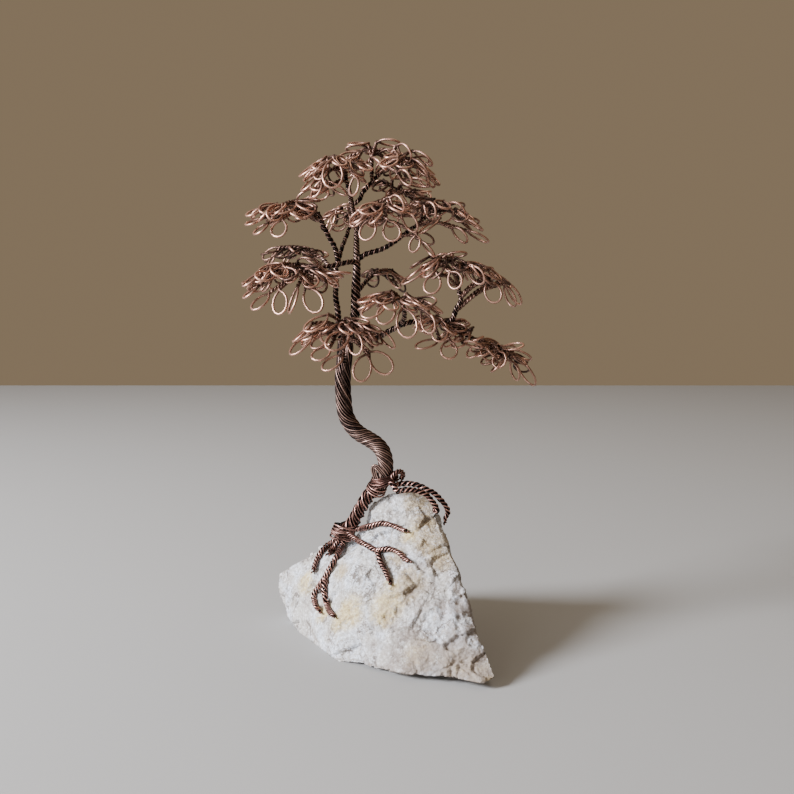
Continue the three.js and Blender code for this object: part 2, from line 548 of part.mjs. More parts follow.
// The stems, each cut back until it clears its parent.
const parents = {
  trunk: { line: trunkLine, thickness: trunkThickness },
  leader: { line: leaderLine, thickness: leaderThickness },
  left_limb: { line: limbLine, thickness: taper(LIMB, LIMB_TIP) },
};
for (const [name, { line, thickness }] of Object.entries(parents)) {
  take(between(line, 3), thickness(0) / 2, name);
}
for (const [name, bough] of Object.entries(boughs)) {
  const parent = parents[bough.parent];
  const fine = along(bough.stem.map(onTree), 0.4);
  const guide = between(parent.line, 4);
  const start = fine.findIndex((point) => guide.every((other, i) => other.distanceTo(point)
    > (parent.thickness(i / guide.length) + bough.thickness) / 2 + GAP));
  bough.line = along(fine.slice(start), 3.5);
  parents[name] = { line: along(fine, 1), thickness: () => bough.thickness };
  take(along(fine.slice(start), 0.8), bough.thickness / 2, name);
}

// The ends of a fan's twigs, evenly turned round its dome, short of the rim by most of a leaf.
function fanEnds(fan, seed) {
  const centre = onTree(fan.centre);
  const size = TREE_HEIGHT / 100;
  return Array.from({ length: fan.twigs }, (_, i) => {
    const angle = radians(fan.from + (360 * (i + 0.4 * chance(seed, i))) / fan.twigs);
    const [dx, dy] = [Math.cos(angle), Math.sin(angle)]
      .map((side, k) => side * Math.max(fan.reach[k] * size - 0.75 * LEAF_LENGTH, LEAF_LENGTH / 2));
    const share = Math.hypot(dx / fan.reach[0], dy / fan.reach[1]) / size;
    return centre.clone().add(new THREE.Vector3(dx, dy, fan.lean * dx - fan.fall * size * share ** 2));
  });
}

// A twig leaves the stem some way before the point nearest to its end, where no other twig does,
// and rises in a low arch.
function twigLine(stem, used, end) {
  let nearest = 0;
  stem.forEach((point, i) => {
    if (point.distanceTo(end) < stem[nearest].distanceTo(end)) nearest = i;
  });
  let start = Math.max(0, nearest - Math.round(0.5 * stem[nearest].distanceTo(end)));
  while (used.has(start) && start < stem.length - 1) start++;
  used.add(start);
  const foot = stem[start];
  const middle = foot.clone().lerp(end, 0.5);
  middle.z += 0.1 * foot.distanceTo(end);
  return along([foot, middle, end], 0.5);
}

// A leaf that grows at a twig's end points onward and down, each time a little differently.
function grownLeaf(foot, heading, seed, turn) {
  const yaw = heading + radians(70 * (chance(seed, turn + 3) - 0.5));
  const droop = radians(45 + 50 * (chance(seed, turn + 11) - 0.5));
  const roll = radians(110 * (chance(seed, turn + 23) - 0.5));
  const length = LEAF_LENGTH * (0.88 + 0.24 * chance(seed, turn + 31));
  const width = LEAF_WIDTH * (0.8 + 0.3 * chance(seed, turn + 41));
  const axis = new THREE.Vector3(Math.cos(yaw), Math.sin(yaw), -Math.tan(droop)).normalize();
  const across = axis.clone().cross(UP).normalize().applyAxisAngle(axis, roll);
  const tip = foot.clone().addScaledVector(axis, length);
  return { foot, across, line: leafLoop(foot, tip, across, width) };
}

// A leaf that stands out in the photograph: its foot, its tip and how wide it looks from the front.
function markedLeaf([fx, fy, fz, tx, ty, tz, seen]) {
  const foot = onTree([fx, fy, fz]);
  const tip = onTree([tx, ty, tz]);
  const axis = tip.clone().sub(foot).normalize();
  const across = axis.clone().cross(new THREE.Vector3(0, 1, 0)).normalize()
    .applyAxisAngle(axis, Math.acos(seen));
  const width = Math.max(LEAF_WIDTH, 0.68 * foot.distanceTo(tip));
  return { foot, across, line: leafLoop(foot, tip, across, width) };
}

// All the twigs and the marked leaves come first. A fan's twig is left out where a marked leaf
// already has its place.
const grown = {};
const outlineOf = ({ foot, line }) => between([foot, ...line, foot], LEAF_STEPS);
Object.entries(boughs).forEach(([name, bough], b) => {
  const stem = along(bough.line, 1);
  const used = new Set();
  const marked = bough.leaves.map(markedLeaf);
  const ends = bough.fans.flatMap((fan, f) => fanEnds(fan, 10 * b + f))
    .filter((end) => marked.every((leaf) => leaf.foot.distanceTo(end) > LEAF_WIDTH * 0.7));
  grown[name] = [
    ...marked.map((leaf) => ({ line: twigLine(stem, used, leaf.foot), leaf })),
    ...ends.map((end) => ({ line: twigLine(stem, used, end) })),
  ];
  for (const { line, leaf } of grown[name]) {
    take(line, WIRE / 2, name);
    if (leaf) take(outlineOf(leaf), WIRE / 2, name);
  }
});

// Then each twig that has no leaf yet grows one, turned until it is clear of all the others.
const TRIES = 12;
function growLeaf(line, seed, name) {
  const foot = line.at(-1);
  const onward = foot.clone().sub(line.at(-3));
  const heading = Math.atan2(onward.y, onward.x);
  for (let i = 0; i < TRIES; i++) {
    const leaf = grownLeaf(foot, heading, seed, 50 * i);
    const outline = outlineOf(leaf);
    if (clearance(outline.slice(LEAF_STEPS, -LEAF_STEPS), name) < 0) continue;
    take(outline, WIRE / 2, name);
    return leaf;
  }
  return null;
}
Object.entries(boughs).forEach(([name], b) => {
  grown[name].forEach((twig, i) => {
    twig.leaf ??= growLeaf(twig.line, 100 * b + i, name);
  });
});

// One wire runs along a twig and round its leaf, and ends beside the leaf's foot.
const LOOP_END = 0.75;
function twigWire({ line, leaf }) {
  const end = leaf.foot.clone().addScaledVector(leaf.across, -LOOP_END);
  return rod([line[0], leaf.foot, ...leaf.line, end], () => TWIG, { sides: 3 });
}
for (const [name, twigs] of Object.entries(grown)) {
  const { line, thickness } = boughs[name];
  const wires = twigs.filter((twig) => twig.leaf).map(twigWire);
  add(name, fuse([rod(line, taper(thickness, TWIG), { sides: 4 }), ...wires]), COPPER);
}

export default sculpture;
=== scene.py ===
# A small tree twisted from antiqued copper wire and bound to a white rock, as its photograph shows it.
# Shapes are worked out in millimetres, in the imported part's own frame, and written in metres.
import json
from collections import namedtuple
from itertools import product
from math import acos, atan, atan2, cos, degrees, floor, hypot, pi, radians, sin, sqrt, tan
from types import SimpleNamespace

import bmesh
import bpy
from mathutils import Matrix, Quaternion, Vector, noise
from mathutils.bvhtree import BVHTree

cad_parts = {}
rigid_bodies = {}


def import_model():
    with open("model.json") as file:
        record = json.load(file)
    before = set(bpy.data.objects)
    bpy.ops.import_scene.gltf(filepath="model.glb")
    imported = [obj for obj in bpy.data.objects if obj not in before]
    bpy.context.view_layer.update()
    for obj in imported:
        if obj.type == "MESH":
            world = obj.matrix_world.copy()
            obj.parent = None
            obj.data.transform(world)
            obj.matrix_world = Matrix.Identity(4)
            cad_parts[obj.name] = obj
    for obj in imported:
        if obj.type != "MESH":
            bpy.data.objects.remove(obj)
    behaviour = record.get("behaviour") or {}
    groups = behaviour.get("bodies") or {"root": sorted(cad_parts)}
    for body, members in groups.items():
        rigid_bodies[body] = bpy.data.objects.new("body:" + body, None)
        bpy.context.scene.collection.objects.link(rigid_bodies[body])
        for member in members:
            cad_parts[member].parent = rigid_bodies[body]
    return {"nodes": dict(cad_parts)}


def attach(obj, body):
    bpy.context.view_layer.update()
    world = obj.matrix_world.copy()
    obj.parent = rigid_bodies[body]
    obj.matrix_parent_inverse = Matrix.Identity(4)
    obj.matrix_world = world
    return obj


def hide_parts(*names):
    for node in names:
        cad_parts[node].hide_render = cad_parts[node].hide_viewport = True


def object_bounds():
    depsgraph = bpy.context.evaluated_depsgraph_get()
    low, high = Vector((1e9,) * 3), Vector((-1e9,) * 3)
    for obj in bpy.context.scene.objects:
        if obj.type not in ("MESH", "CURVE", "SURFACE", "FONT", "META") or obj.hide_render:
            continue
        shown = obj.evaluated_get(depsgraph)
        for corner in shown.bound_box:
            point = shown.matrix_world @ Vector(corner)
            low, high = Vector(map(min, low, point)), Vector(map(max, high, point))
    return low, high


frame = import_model()
cad_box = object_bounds()

MM = 0.001
WIRE = 0.51  # thickness of one wire
LEAF_WIRE = 0.6  # the loops look stouter than the strands of the trunk
GAP = 0.3  # between the wires of two boughs
# The sizes that the solids have too. Those of trunk, leader, limb, root and wrap are thicknesses.
ROCK_WIDTH, ROCK_DEPTH, ROCK_HEIGHT = 55, 61, 38
TREE_HEIGHT = 91
TRUNK, TRUNK_FOOT = 4.3, 3.1
LEADER, LEADER_TIP, LIMB, LIMB_TIP = 2.3, 1.1, 2, 1.5
ROOT, WRAP = 1.6, 1
LEAF_LENGTH, LEAF_WIDTH = 6, 4.6


# Camera, floor and light


def new_object(name, data):
    """An object in the scene."""
    made = bpy.data.objects.new(name, data)
    bpy.context.scene.collection.objects.link(made)
    return made


PHOTO_FOCUS, PHOTO_SIZE = 1000, 794  # both in pixels
CAMERA_DIP = 6.56  # degrees that it looks down
camera_data = bpy.data.cameras.new("camera")
camera_data.lens = camera_data.sensor_width * PHOTO_FOCUS / PHOTO_SIZE
camera_data.clip_start = 0.01
camera = new_object("camera", camera_data)
camera.location = Vector((2.36, -260, 93)) * MM
camera.rotation_euler = (radians(90 - CAMERA_DIP), 0, 0)
bpy.context.scene.camera = camera


def linear(colour):
    """An sRGB hex colour as linear red, green and blue, with full alpha."""
    channels = [int(colour[i : i + 2], 16) / 255 for i in (1, 3, 5)]
    return [c / 12.92 if c <= 0.04045 else ((c + 0.055) / 1.055) ** 2.4 for c in channels] + [1]


def add_node(tree, kind, settings=None, **inputs):
    """Adds a node. Inputs are values, or sockets to link. Their names use _ for a space, and inN is
    the input with the number N."""
    node = tree.nodes.new(kind)
    for key, value in (settings or {}).items():
        setattr(node, key, value)
    for key, value in inputs.items():
        numbered = key.startswith("in") and key[2:].isdigit()
        socket = node.inputs[int(key[2:]) if numbered else key.replace("_", " ")]
        if isinstance(value, bpy.types.NodeSocket):
            tree.links.new(value, socket)
        else:
            socket.default_value = value
    return node


def new_material(name):
    material = bpy.data.materials.new(name)
    material.use_nodes = True
    material.node_tree.nodes.clear()
    return material, material.node_tree


def shade(tree, **looks):
    shader = add_node(tree, "ShaderNodeBsdfPrincipled", **looks)
    add_node(tree, "ShaderNodeOutputMaterial", Surface=shader.outputs[0])


def calculate(tree, operation, a, b, c=0.0, clamped=False):
    settings = {"operation": operation, "use_clamp": clamped}
    return add_node(tree, "ShaderNodeMath", settings, in0=a, in1=b, in2=c).outputs[0]


def clouds(tree, place, size, detail=2.0, rough=0.5, bent=0.0):
    """Noise in patches about `size` millimetres across."""
    return add_node(
        tree, "ShaderNodeTexNoise",
        Vector=place, Scale=1 / (size * MM), Detail=detail, Roughness=rough, Distortion=bent,
    )


def attribute(tree, name):
    return add_node(tree, "ShaderNodeAttribute", {"attribute_name": name}).outputs["Fac"]


def ramp(tree, factor, *stops):
    """A colour ramp through (position, hex colour) stops."""
    node = add_node(tree, "ShaderNodeValToRGB", in0=factor)
    elements = node.color_ramp.elements
    while len(elements) < len(stops):
        elements.new(0.5)
    for element, (position, colour) in zip(elements, stops):
        element.position = position
        element.color = linear(colour)
    return node.outputs["Color"]


def stage_floor():
    """A plain pale table top, which ends where the one in the photograph does."""
    bpy.ops.mesh.primitive_plane_add(size=1.28)
    table = bpy.context.object
    table.name = "floor"
    material, tree = new_material("pale matt floor")
    shade(tree, Base_Color=linear("#9b9995"), Roughness=0.9)
    table.data.materials.append(material)


def soft_light(name, place, target, size, watts, colour):
    """A round lamp aimed at a target, all in metres."""
    data = bpy.data.lights.new(name, "AREA")
    data.shape, data.size, data.energy, data.color = "DISK", size, watts, linear(colour)[:3]
    light = new_object(name, data)
    light.location = place
    light.rotation_euler = (Vector(target) - Vector(place)).to_track_quat("-Z", "Y").to_euler()


stage_floor()
soft_light("window", (-0.7, -0.27, 0.38), (0, 0, 0.06), 0.3, 26, "#f0f4ff")
soft_light("ceiling", (0.1, 0.15, 0.9), (0, 0, 0.05), 0.7, 2.8, "#fff6ea")
soft_light("fill", (-0.4, -0.7, 0.2), (0, 0, 0.05), 0.4, 1.8, "#f6f7ff")
world = bpy.data.worlds.new("studio")
world.use_nodes = True
background = world.node_tree.nodes["Background"]
background.inputs["Color"].default_value = linear("#d0b693")
background.inputs["Strength"].default_value = 0.37
bpy.context.scene.world = world


# Materials


def copper(name, groove, body, crest):
    """Copper wire blackened and then rubbed back: dark between the strands, warm and bright on their
    crests. The rub attribute says how far out on its bundle a point lies, or how bright a leaf is;
    it also carries painted light and shade, brighter at the trunk's foot and on the leaves in front,
    darker up the trunk under the pads and in the pads behind.
    The oxide on it scatters some light, so it is not all mirror."""
    material, tree = new_material(name)
    place = add_node(tree, "ShaderNodeTexCoord").outputs["Object"]
    rub = attribute(tree, "rub")
    # blotches of patina 2 mm across, and scuffs a third of a millimetre across
    blotch = clouds(tree, place, 2, 3).outputs[0]
    scuff = clouds(tree, place, 0.35).outputs[0]
    uneven = calculate(tree, "MULTIPLY_ADD", blotch, 0.7, -0.35)
    scuffed = calculate(tree, "MULTIPLY_ADD", scuff, 0.3, -0.15)
    bright = calculate(tree, "ADD", rub, calculate(tree, "ADD", uneven, scuffed), clamped=True)
    colour = ramp(tree, bright, (0.05, groove), (0.45, body), (0.95, crest))
    rough = add_node(tree, "ShaderNodeMapRange", Value=bright, To_Min=0.6, To_Max=0.36).outputs[0]
    bump = add_node(tree, "ShaderNodeBump", Height=scuff, Strength=0.15, Distance=0.03 * MM)
    shade(tree, Base_Color=colour, Metallic=0.9, Roughness=rough, Normal=bump.outputs[0])
    return material


# the trunk's wire is darker than that of leaves and roots, partly for a heavier patina and partly as
# painted shade, where the pads above shade the trunk and its fork
COPPER_DARK = copper("antiqued copper wire, trunk", "#060404", "#261a16", "#a8887a")
COPPER_LEAF = copper("antiqued copper wire, leaves", "#0c0806", "#4b372f", "#ce9f89")
COPPER_ROOT = copper("antiqued copper wire, roots", "#0c0706", "#482e26", "#cfa091")


def sugary_stone():
    """White crystalline rock, broken along fine grains that catch the light, stained by iron and glue.
    The attributes `tan` and `amber` say where the stains lie, and a third how dark the surface is,
    from dirt in its pits and cracks and from painted shade low down and to the right."""
    material, tree = new_material("white sugary rock")
    place = add_node(tree, "ShaderNodeTexCoord").outputs["Object"]

    def speckle(size, detail=2.0, rough=0.6, bent=0.0):
        return clouds(tree, place, size, detail, rough, bent).outputs[0]

    def mix(factor, *colours):
        a, b = (linear(colour) if isinstance(colour, str) else colour for colour in colours)
        return add_node(tree, "ShaderNodeMix", {"data_type": "RGBA"}, in0=factor, in6=a, in7=b).outputs[2]

    def fade(value, low, high, full=1.0):
        return add_node(
            tree, "ShaderNodeMapRange", Value=value, From_Min=low, From_Max=high, To_Max=full
        ).outputs[0]

    grains = speckle(0.8, 4, 0.75)
    colour = mix(fade(speckle(9), 0.42, 0.58), "#c8ccd2", "#b5b0a8")
    colour = mix(fade(speckle(2.6, 4, 0.7, 1.0), 0.5, 0.6, 0.9), colour, "#aba399")
    colour = mix(fade(grains, 0.5, 0.4, 0.7), colour, "#8d857c")
    colour = mix(fade(grains, 0.55, 0.63, 0.75), colour, "#eceef0")
    # dirt in pores and in hair cracks, both drawn about 0.4 mm wide so that they show
    bent_place = add_node(
        tree, "ShaderNodeVectorMath", {"operation": "MULTIPLY_ADD"},
        in0=clouds(tree, place, 3, 3).outputs["Color"], in1=(5 * MM, 5 * MM, 5 * MM), in2=place,
    )
    cracks = add_node(
        tree, "ShaderNodeTexVoronoi", {"feature": "DISTANCE_TO_EDGE"},
        Vector=bent_place.outputs[0], Scale=1 / (7 * MM),
    ).outputs["Distance"]
    darkening = calculate(tree, "ADD", fade(speckle(0.7, 2, 0.7, 1.5), 0.53, 0.58), fade(cracks, 0.05, 0.01))
    dirty = calculate(tree, "MULTIPLY", darkening, fade(speckle(5, 3), 0.44, 0.57, 0.9), clamped=True)
    colour = mix(dirty, colour, "#655b52")
    ragged = fade(speckle(2.4, 5, 0.75, 1.5), 0.3, 0.56)
    for stain, tint, deep, full in (
        ("tan", "#b19c74", "#7f6b4e", 0.8), ("amber", "#d1be84", "#a58b59", 0.85),
    ):
        edge = calculate(tree, "MULTIPLY", attribute(tree, stain), ragged)
        colour = mix(fade(edge, 0.05, 0.7, full), colour, mix(fade(grains, 0.4, 0.58), deep, tint))
    # dirt in pits and cracks, with painted shade low down and to the right
    colour = mix(fade(attribute(tree, "pit_and_shade"), 0.0, 0.7, 0.75), colour, "#7d7065")
    lumps = add_node(tree, "ShaderNodeTexVoronoi", Vector=place, Scale=1 / (0.6 * MM)).outputs["Distance"]
    height = calculate(tree, "MULTIPLY_ADD", lumps, 0.6, grains)
    bump = add_node(tree, "ShaderNodeBump", Height=height, Strength=0.8, Distance=0.26 * MM)
    rough = fade(speckle(0.5), -1.2, 1.4)
    shade(
        tree, Base_Color=colour, Roughness=rough, IOR=1.5, Subsurface_Weight=0.05,
        Subsurface_Radius=(0.0012, 0.0011, 0.001), Subsurface_Scale=1.0, Normal=bump.outputs[0],
    )
    return material


STONE = sugary_stone()


# Small helpers


def on_rock(share):
    """A point given in shares of the rock's width, depth and height."""
    x, y, z = share
    return Vector((x * ROCK_WIDTH, y * ROCK_DEPTH, z * ROCK_HEIGHT))


def on_tree(hundredths):
    """A point given in hundredths of the tree's height, counted from the top of the rock."""
    return Vector(hundredths) * (TREE_HEIGHT / 100) + Vector((0, 0, ROCK_HEIGHT))


def tree_line(*points):
    return [on_tree(point) for point in points]


def chance(a, b):
    """A number from 0 to 1 that looks random but is always the same for the same two numbers."""
    s = sin(a * 12.9898 + b * 78.233) * 43758.5453
    return s - floor(s)


def blend(a, b, share):
    return a + (b - a) * share


def clamp(value, low=0.0, high=1.0):
    return min(high, max(low, value))


def finish_piece(name, mesh, material, nodes):
    """Puts a finished mesh in the scene, in place of the nodes of the solid model."""
    mesh.materials.append(material)
    mesh.shade_smooth()
    piece = new_object(name, mesh)
    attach(piece, "root")
    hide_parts(*nodes)


def write_attribute(mesh, name, values):
    mesh.attributes.new(name, "FLOAT", "POINT").data.foreach_set("value", values)


# The rock

noise.seed_set(2)  # without a seed, its noise vectors differ from run to run
ROCK_GRAIN = 0.34  # distance between the points of its surface
TAN_STAINS = [  # iron: middle in shares of the rock, and reach in millimetres
    (0.143, -0.038, 0.958, 4.6), (0.191, -0.05, 0.95, 3.2), (0.18, -0.13, 0.82, 4.5),
    (0.2, -0.19, 0.72, 4.5), (0.24, -0.25, 0.63, 3.4), (0.102, -0.3, 0.51, 4.4),
    (0.074, -0.335, 0.45, 3.4), (-0.217, -0.117, 0.485, 2.6), (0.36, -0.615, 0.09, 5),
    (0.29, -0.577, 0.11, 4), (0.42, -0.64, 0.06, 3.2), (0.038, -0.2, 0.63, 2.6),
    (0.14, -0.52, 0.14, 4), (-0.01, -0.37, 0.28, 2.4), (0.02, 0.3, 0.5, 7), (-0.3, 0.25, 0.35, 5),
]
AMBER_STAINS = [  # glue under the ends of the roots, in the same form
    (-0.011, -0.338, 0.35, 4.2), (-0.03, -0.342, 0.318, 3), (-0.171, -0.28, 0.285, 4),
    (-0.4, 0.011, 0.345, 3.2), (-0.31, -0.155, 0.217, 2.6), (-0.213, -0.279, 0.236, 3.4),
    (0.099, -0.154, 0.745, 2.2), (0.016, -0.29, 0.47, 2),
]


def chipped(point, size, tilt):
    """The height of a surface broken into small tilted facets about `size` across."""
    spots = noise.voronoi(point / size)[1]
    return tilt * size * (point / size - spots[0]).dot(noise.noise_vector(spots[0] * 7))


def stained(point, stains):
    """How strongly a point is stained, fading outwards from the middle of the nearest stain."""
    return max(0.0, *(1.4 - (point - on_rock(at)).length / reach for *at, reach in stains))


def rock_mesh():
    """The solid rock as an even, fine mesh, broken into facets and chips."""
    bm = bmesh.new()
    bm.from_mesh(frame["nodes"]["rock"].data)
    bmesh.ops.remove_doubles(bm, verts=bm.verts, dist=0.001 * MM)
    rough_mesh = bpy.data.meshes.new("rock_rough")
    bm.to_mesh(rough_mesh)
    bm.free()
    rough = new_object("rock_rough", rough_mesh)
    remesh = rough.modifiers.new("even", "REMESH")
    remesh.mode = "VOXEL"
    remesh.voxel_size = ROCK_GRAIN * MM
    mesh = bpy.data.meshes.new_from_object(rough.evaluated_get(bpy.context.evaluated_depsgraph_get()))
    bpy.data.objects.remove(rough)

    bm = bmesh.new()
    bm.from_mesh(mesh)
    bm.normal_update()
    pit_and_shade_values, tans, ambers, moved = [], [], [], []
    for vertex in bm.verts:
        point = vertex.co / MM
        coarse = clamp(0.65 + 1.3 * noise.noise(point / 9 + Vector((2, 6, 1))), 0.25)
        faces = chipped(point, 7, 0.34)
        chips = chipped(point + Vector((3, 1, 2)), 3, 0.36) + chipped(point + Vector((1, 5, 3)), 1.4, 0.4)
        relief = coarse * (chips + 0.26 * noise.fractal(point / 2.2, 0.7, 2.1, 4))
        # cracks run where two cells of a bent pattern meet, and only in parts of the rock
        cells = noise.voronoi((point + 1.6 * noise.noise_vector(point / 3)) / 9)[0]
        cracked = max(0.0, 2 * noise.noise(point / 8 + Vector((5, 5, 5))))
        crack = max(0.0, 1 - (cells[1] - cells[0]) / 0.05) * cracked
        # the top is half a millimetre fuller than the solid, the rest mostly a little leaner
        apex = clamp((point.z - 34) / 3) * clamp(point.x + 1)
        depth = min(0.3, faces + relief - 0.2 - 0.45 * crack) * (1 - 0.5 * apex) + 0.5 * apex
        if vertex.normal.z < -0.3:  # an overhang only recedes
            depth = min(depth, 0)
        moved.append(point + vertex.normal * depth * min(1.0, point.z / 1.5))
        # darker low down, in patches and to the right: partly dirt, partly painted shade on the lower part
        # and on the side away from the window light
        darkening = max(0.0, 1 - point.z / 26) * max(0.0, 0.8 + 1.6 * noise.noise(point / 3.4))
        darkening *= clamp(0.4 + point.x / 25, 0.0, 1.2)
        pit_and_shade_values.append(min(1.0, 2.2 * max(0.0, -0.2 - relief) + 0.8 * crack + darkening))
        tans.append(stained(point, TAN_STAINS))
        ambers.append(stained(point, AMBER_STAINS))
    # the underside stays flat, and the toe within the box of the solids
    for vertex, point in zip(bm.verts, moved):
        point.z = 0 if vertex.co.z < 0.6 * ROCK_GRAIN * MM else max(point.z, 0)
        point.y = max(point.y, cad_box[0][1] / MM + 0.1)
        vertex.co = point * MM
    bm.to_mesh(mesh)
    bm.free()
    mesh.name = "rock_stone"
    write_attribute(mesh, "pit_and_shade", pit_and_shade_values)
    write_attribute(mesh, "tan", tans)
    write_attribute(mesh, "amber", ambers)
    return mesh


def search_tree(mesh):
    bm = bmesh.new()
    bm.from_mesh(mesh)
    tree = BVHTree.FromBMesh(bm)
    bm.free()
    return tree


stone_mesh = rock_mesh()
finish_piece("rock_stone", stone_mesh, STONE, ["rock"])
rock_surface = search_tree(stone_mesh)
solid_surface = search_tree(frame["nodes"]["rock"].data)
LANDING_STEPS = 60


def rest_on_rock(target, outward, radius, surface, gap=0.0):
    """Lets a ball come down on the rock against `outward`, through `target`, and returns its middle."""
    upward = Vector(outward).normalized()
    ball = target + upward * ROCK_DEPTH
    for _ in range(LANDING_STEPS):
        ball = ball + upward * (radius + gap - surface.find_nearest(ball * MM)[3] / MM)
    return ball


# Lines and wires


def curve_point(points, at):
    """A point of the smooth curve through the given ones, at `at` from 0 to the last one's number."""
    i = min(int(at), len(points) - 2)
    p1, p2 = points[i], points[i + 1]
    p0 = points[i - 1] if i else 2 * p1 - p2
    p3 = points[i + 2] if i + 2 < len(points) else 2 * p2 - p1
    d0, d1, d2 = (max(sqrt((b - a).length), 0.01) for a, b in ((p0, p1), (p1, p2), (p2, p3)))
    t1 = ((p1 - p0) / d0 - (p2 - p0) / (d0 + d1) + (p2 - p1) / d1) * d1
    t2 = ((p2 - p1) / d1 - (p3 - p1) / (d1 + d2) + (p3 - p2) / d2) * d1
    t = at - i
    return p1 + t1 * t + (3 * (p2 - p1) - 2 * t1 - t2) * t**2 + (2 * (p1 - p2) + t1 + t2) * t**3


def along(points, step):
    """Points along a smooth curve through the given ones, evenly spaced about `step` apart."""
    parts = 200
    fine = [curve_point(points, (len(points) - 1) * i / parts) for i in range(parts + 1)]
    travelled = [0.0]
    for a, b in zip(fine, fine[1:]):
        travelled.append(travelled[-1] + (b - a).length)
    count = max(1, round(travelled[-1] / step))
    result, k = [], 0
    for i in range(count + 1):
        goal = travelled[-1] * i / count
        while k < parts - 1 and travelled[k + 1] < goal:
            k += 1
        span = travelled[k + 1] - travelled[k]
        share = (goal - travelled[k]) / span if span else 0
        result.append(curve_point(points, (len(points) - 1) * (k + share) / parts))
    return result


def direction(line, i):
    """Which way a row of points runs at one of them."""
    return (line[min(i + 1, len(line) - 1)] - line[max(i - 1, 0)]).normalized()


def twisted(line, count, radius, lay, end_side=None, sunk=0.0):
    """`count` strands wound round a line, each a list of (point, outward) pairs. `radius` gives the
    distance of their middles from the line at a share of its length, and `lay` their slant in degrees.
    With `end_side`, the first strand ends on that side of the line. Every second strand can be `sunk`."""
    last = len(line) - 1
    side = Vector((0, 1, 0))
    frames, angle = [], 0.0
    for i, point in enumerate(line):
        tangent = direction(line, i)
        if i == 0:
            side = tangent.cross(Vector((0, 1, 0)) if abs(tangent.y) < 0.8 else Vector((0, 0, 1)))
        side = (side - tangent * side.dot(tangent)).normalized()
        share = i / last
        slant = lay(share) if callable(lay) else lay
        angle -= (point - line[max(0, i - 1)]).length * tan(radians(slant)) / radius(share)
        frames.append((point, side, tangent.cross(side), angle, radius(share)))
    start = 0.0
    if end_side:
        _, side, across, angle, _ = frames[-1]
        start = atan2(end_side.dot(across), end_side.dot(side)) - angle
    strands = []
    for k in range(count):
        strand = []
        for point, side, across, angle, reach in frames:
            at = start + angle + k / count * 2 * pi
            outward = side * cos(at) + across * sin(at)
            strand.append((point + outward * (reach - k % 2 * sunk), outward * (1 - k % 2 * sunk)))
        strands.append(strand)
    return strands


def wire_mesh(name, strands, thickness, sides):
    """Round wires along rows of (point, outward) pairs, with the rub attribute on their surface, into
    which painted light and shade can also be put. A number in place of outward is the rub itself,
    the same all round."""
    data = bpy.data.curves.new(name, "CURVE")
    data.dimensions = "3D"
    data.bevel_depth = thickness / 2 * MM
    data.bevel_resolution = sides // 2 - 2
    middles = []
    for number, strand in enumerate(strands):
        spline = data.splines.new("POLY")
        spline.points.add(len(strand) - 1)
        for point, (place, outward) in zip(spline.points, strand):
            point.co = (*(place * MM), 1)
            middles.append((place, outward, 0.65 + 0.5 * chance(number, len(name))))
    carrier = new_object(name, data)
    mesh = bpy.data.meshes.new_from_object(carrier)
    bpy.data.objects.remove(carrier)
    bm = bmesh.new()
    bm.from_mesh(mesh)
    bmesh.ops.holes_fill(bm, edges=[edge for edge in bm.edges if edge.is_boundary])
    bmesh.ops.recalc_face_normals(bm, faces=bm.faces)
    bm.to_mesh(mesh)
    bm.free()
    # the curve's mesh has a ring of points round each of the wires' own points, in the same order
    rub = []
    for i, vertex in enumerate(mesh.vertices):
        place, outward, shine = middles[i // sides]
        if isinstance(outward, float):
            rub.append(outward)
        else:
            crest = (vertex.co / MM - place).dot(outward) / thickness
            rub.append(shine * max(0.0, (crest - 0.2) / 0.3) ** 1.2)
    write_attribute(mesh, "rub", rub)
    return mesh


def wires(name, strands, material, nodes, thickness=WIRE, sides=8):
    finish_piece(name, wire_mesh(name, strands, thickness, sides), material, nodes)


SMOOTHINGS = 12


def eased(values, start, end):
    """A strand smoothed between two of its points, so that it bends where two rows join."""
    points = [point.copy() for point, _ in values]
    for _ in range(SMOOTHINGS):
        for i in range(max(1, start), min(end, len(points) - 1)):
            points[i] = (points[i - 1] + points[i] * 2 + points[i + 1]) / 4
    return [(point, outward) for point, (_, outward) in zip(points, values)]


# The trunk, its leader and its left limb

RIDGE_OUT = (-0.62, -0.25, 0.75)
foot_on_rock = [
    rest_on_rock(on_rock(point), RIDGE_OUT, radius, solid_surface, GAP)
    for point, radius in (
        ((-0.243, 0.06, 0.667), TRUNK_FOOT / 2 + WRAP),
        ((-0.18, 0.05, 0.76), TRUNK_FOOT / 2 + WRAP),
        ((-0.12, 0.035, 0.84), TRUNK_FOOT / 2 + WRAP / 2),
        ((-0.07, 0.02, 0.92), TRUNK_FOOT / 2 + WRAP),
    )
]
trunk_points = foot_on_rock + tree_line(
    (-2, 0, 2.2), (-1, -0.6, 5), (-0.6, -1, 8.2), (-1.5, -1, 11.8), (-3.4, -0.5, 14), (-6, 0, 15.6),
    (-8.7, 0.5, 17.2), (-11, 1, 19.8), (-12.3, 1, 22.8), (-12.8, 1, 27), (-13, 1, 31), (-12.9, 1, 35),
    (-12.4, 1, 39),
)
leader_points = tree_line(
    (-11.1, 0.8, 39.8), (-10.6, 0.3, 46.8), (-9.3, 0, 51.6), (-9.2, 0, 55.4), (-9, 0, 60), (-8.8, 0, 65),
    (-8.9, 0.5, 71), (-9, 1.1, 77.4), (-10, 1.1, 81), (-10.5, 1.1, 84), (-11.2, 1.1, 87),
)
limb_points = tree_line(
    (-13.7, 1, 39.8), (-13.9, 0, 44), (-14, -1.1, 48), (-14.2, -1.1, 52.3), (-14.8, -1.1, 56.5),
    (-14.6, -1.1, 60), (-14.8, 0, 63.3), (-14.2, 0, 66.5),
)


def trunk_thickness(share):
    return blend(TRUNK_FOOT, TRUNK, min(1, share * 2))


